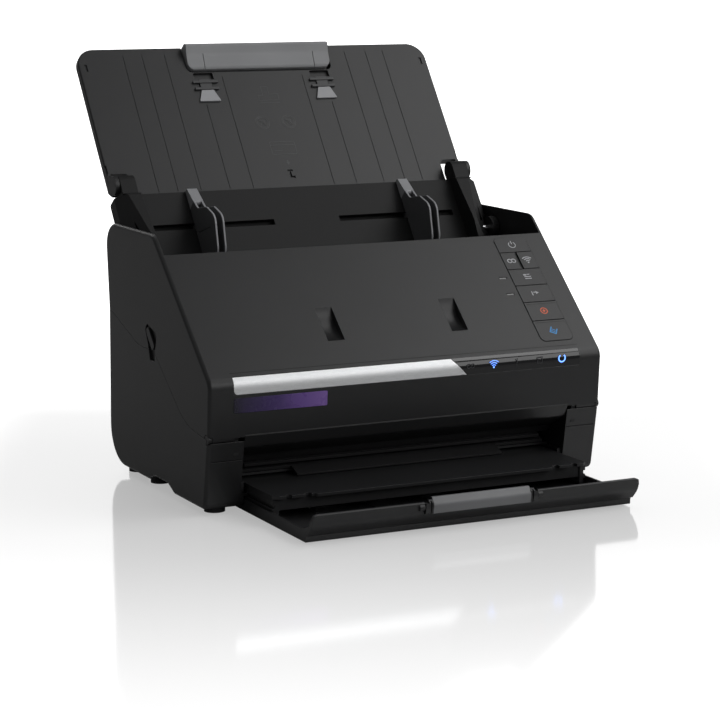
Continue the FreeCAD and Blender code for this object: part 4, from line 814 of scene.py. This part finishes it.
def areaLight(name, place, target, size, power):
    data = bpy.data.lights.new(name, "AREA")
    data.shape = "RECTANGLE"
    data.size, data.size_y = size
    data.energy = power
    lamp = bpy.data.objects.new(name, data)
    bpy.context.scene.collection.objects.link(lamp)
    lamp.location = place
    lamp.rotation_euler = (Vector(target) - Vector(place)).to_track_quat("-Z", "Y").to_euler()


def between(nodes, links, source, limits):
    # eases from one level to another between two places: (start, end, level there, level beyond)
    ease = nodes.new("ShaderNodeMapRange")
    ease.interpolation_type = "SMOOTHSTEP"
    for socket, value in zip(("From Min", "From Max", "To Min", "To Max"), limits):
        ease.inputs[socket].default_value = value
    links.new(source, ease.inputs["Value"])
    return ease.outputs["Result"]


def floorMaterial():
    # a dark polished table that glows white to camera rays only, so that it reads white and still mirrors
    material, nodes, links, shader = newMaterial("polishedTable")
    haze = objectNoise(nodes, links, 3.0, 2.0)
    colourFrom(nodes, links, haze, shader, *((tone, tone, tone) for tone in studio["tones"]))
    shader.inputs["Roughness"].default_value = studio["polish"]
    shader.inputs["IOR"].default_value = studio["gloss"]
    coords = nodes.new("ShaderNodeTexCoord")
    split = nodes.new("ShaderNodeSeparateXYZ")
    links.new(coords.outputs["Object"], split.inputs["Vector"])
    eastward, northward = studio["sight"]
    ahead = mathNode(nodes, links, "MULTIPLY", split.outputs["X"], -eastward)
    ahead = mathNode(nodes, links, "MULTIPLY_ADD", split.outputs["Y"], -northward, ahead)
    beside = mathNode(nodes, links, "MULTIPLY", split.outputs["X"], northward)
    beside = mathNode(nodes, links, "MULTIPLY_ADD", split.outputs["Y"], -eastward, beside)
    beside = mathNode(nodes, links, "ABSOLUTE", beside)
    # painted shade: the glow is dimmer in front of the object, on the side of the main camera, where it
    # mirrors the object in that view
    dim = mathNode(nodes, links, "MULTIPLY", between(nodes, links, ahead, studio["rear"]),
                   between(nodes, links, ahead, studio["fade"]))
    dim = mathNode(nodes, links, "MULTIPLY", dim, between(nodes, links, beside, studio["flank"]))
    level = mathNode(nodes, links, "MULTIPLY_ADD", dim, -studio["dimmed"], 1.0)
    path = nodes.new("ShaderNodeLightPath")
    glow = mathNode(nodes, links, "MULTIPLY", path.outputs["Is Camera Ray"], level)
    shader.inputs["Emission Color"].default_value = (1, 1, 1, 1)
    links.new(glow, shader.inputs["Emission Strength"])
    return material


def buildWorld():
    # bright only in the sector that the main camera looks at, and dim all round; camera rays see white
    world = bpy.data.worlds.new("studioWorld")
    bpy.context.scene.world = world
    world.use_nodes = True
    nodes, links = world.node_tree.nodes, world.node_tree.links
    background = nodes["Background"]
    background.inputs["Color"].default_value = (1, 1, 1, 1)
    coords = nodes.new("ShaderNodeTexCoord")
    split = nodes.new("ShaderNodeSeparateXYZ")
    links.new(coords.outputs["Generated"], split.inputs["Vector"])
    eastward, northward = studio["sight"]
    along = mathNode(nodes, links, "MULTIPLY", split.outputs["X"], eastward)
    along = mathNode(nodes, links, "MULTIPLY_ADD", split.outputs["Y"], northward, along)
    behind = between(nodes, links, along, (*studio["backdrop"], studio["ambient"], 1.0))
    path = nodes.new("ShaderNodeLightPath")
    level = mathNode(nodes, links, "MAXIMUM", behind, path.outputs["Is Camera Ray"])
    links.new(level, background.inputs["Strength"])


def addFloor():
    half = studio["floor"] / 2
    mesh = bpy.data.meshes.new("floor")
    mesh.from_pydata([(x, y, 0) for x, y in box(-half, half, -half, half)], [], [(0, 1, 2, 3)])
    floor = bpy.data.objects.new("floor", mesh)
    bpy.context.scene.collection.objects.link(floor)
    mesh.materials.append(floorMaterial())
    floor.location.z = -studio["below"] * mm


def addCamera():
    data = bpy.data.cameras.new("camera")
    data.sensor_width = studio["sensor"]
    data.sensor_fit = "HORIZONTAL"
    data.lens = studio["lens"]
    data.clip_end = studio["reach"]
    camera = bpy.data.objects.new("camera", data)
    bpy.context.scene.collection.objects.link(camera)
    camera.location = spot(*studio["camera"])
    pitch, yaw = math.radians(90 - studio["pitch"]), -math.radians(studio["yaw"])
    camera.rotation_euler = Euler((pitch, 0, yaw), "XYZ")
    bpy.context.scene.camera = camera


addFloor()
buildWorld()
for lampValues in studio["lamps"]:
    areaLight(*lampValues)
addCamera()
bpy.context.scene.view_settings.view_transform = "Standard"
print("stage, lights and camera ready")
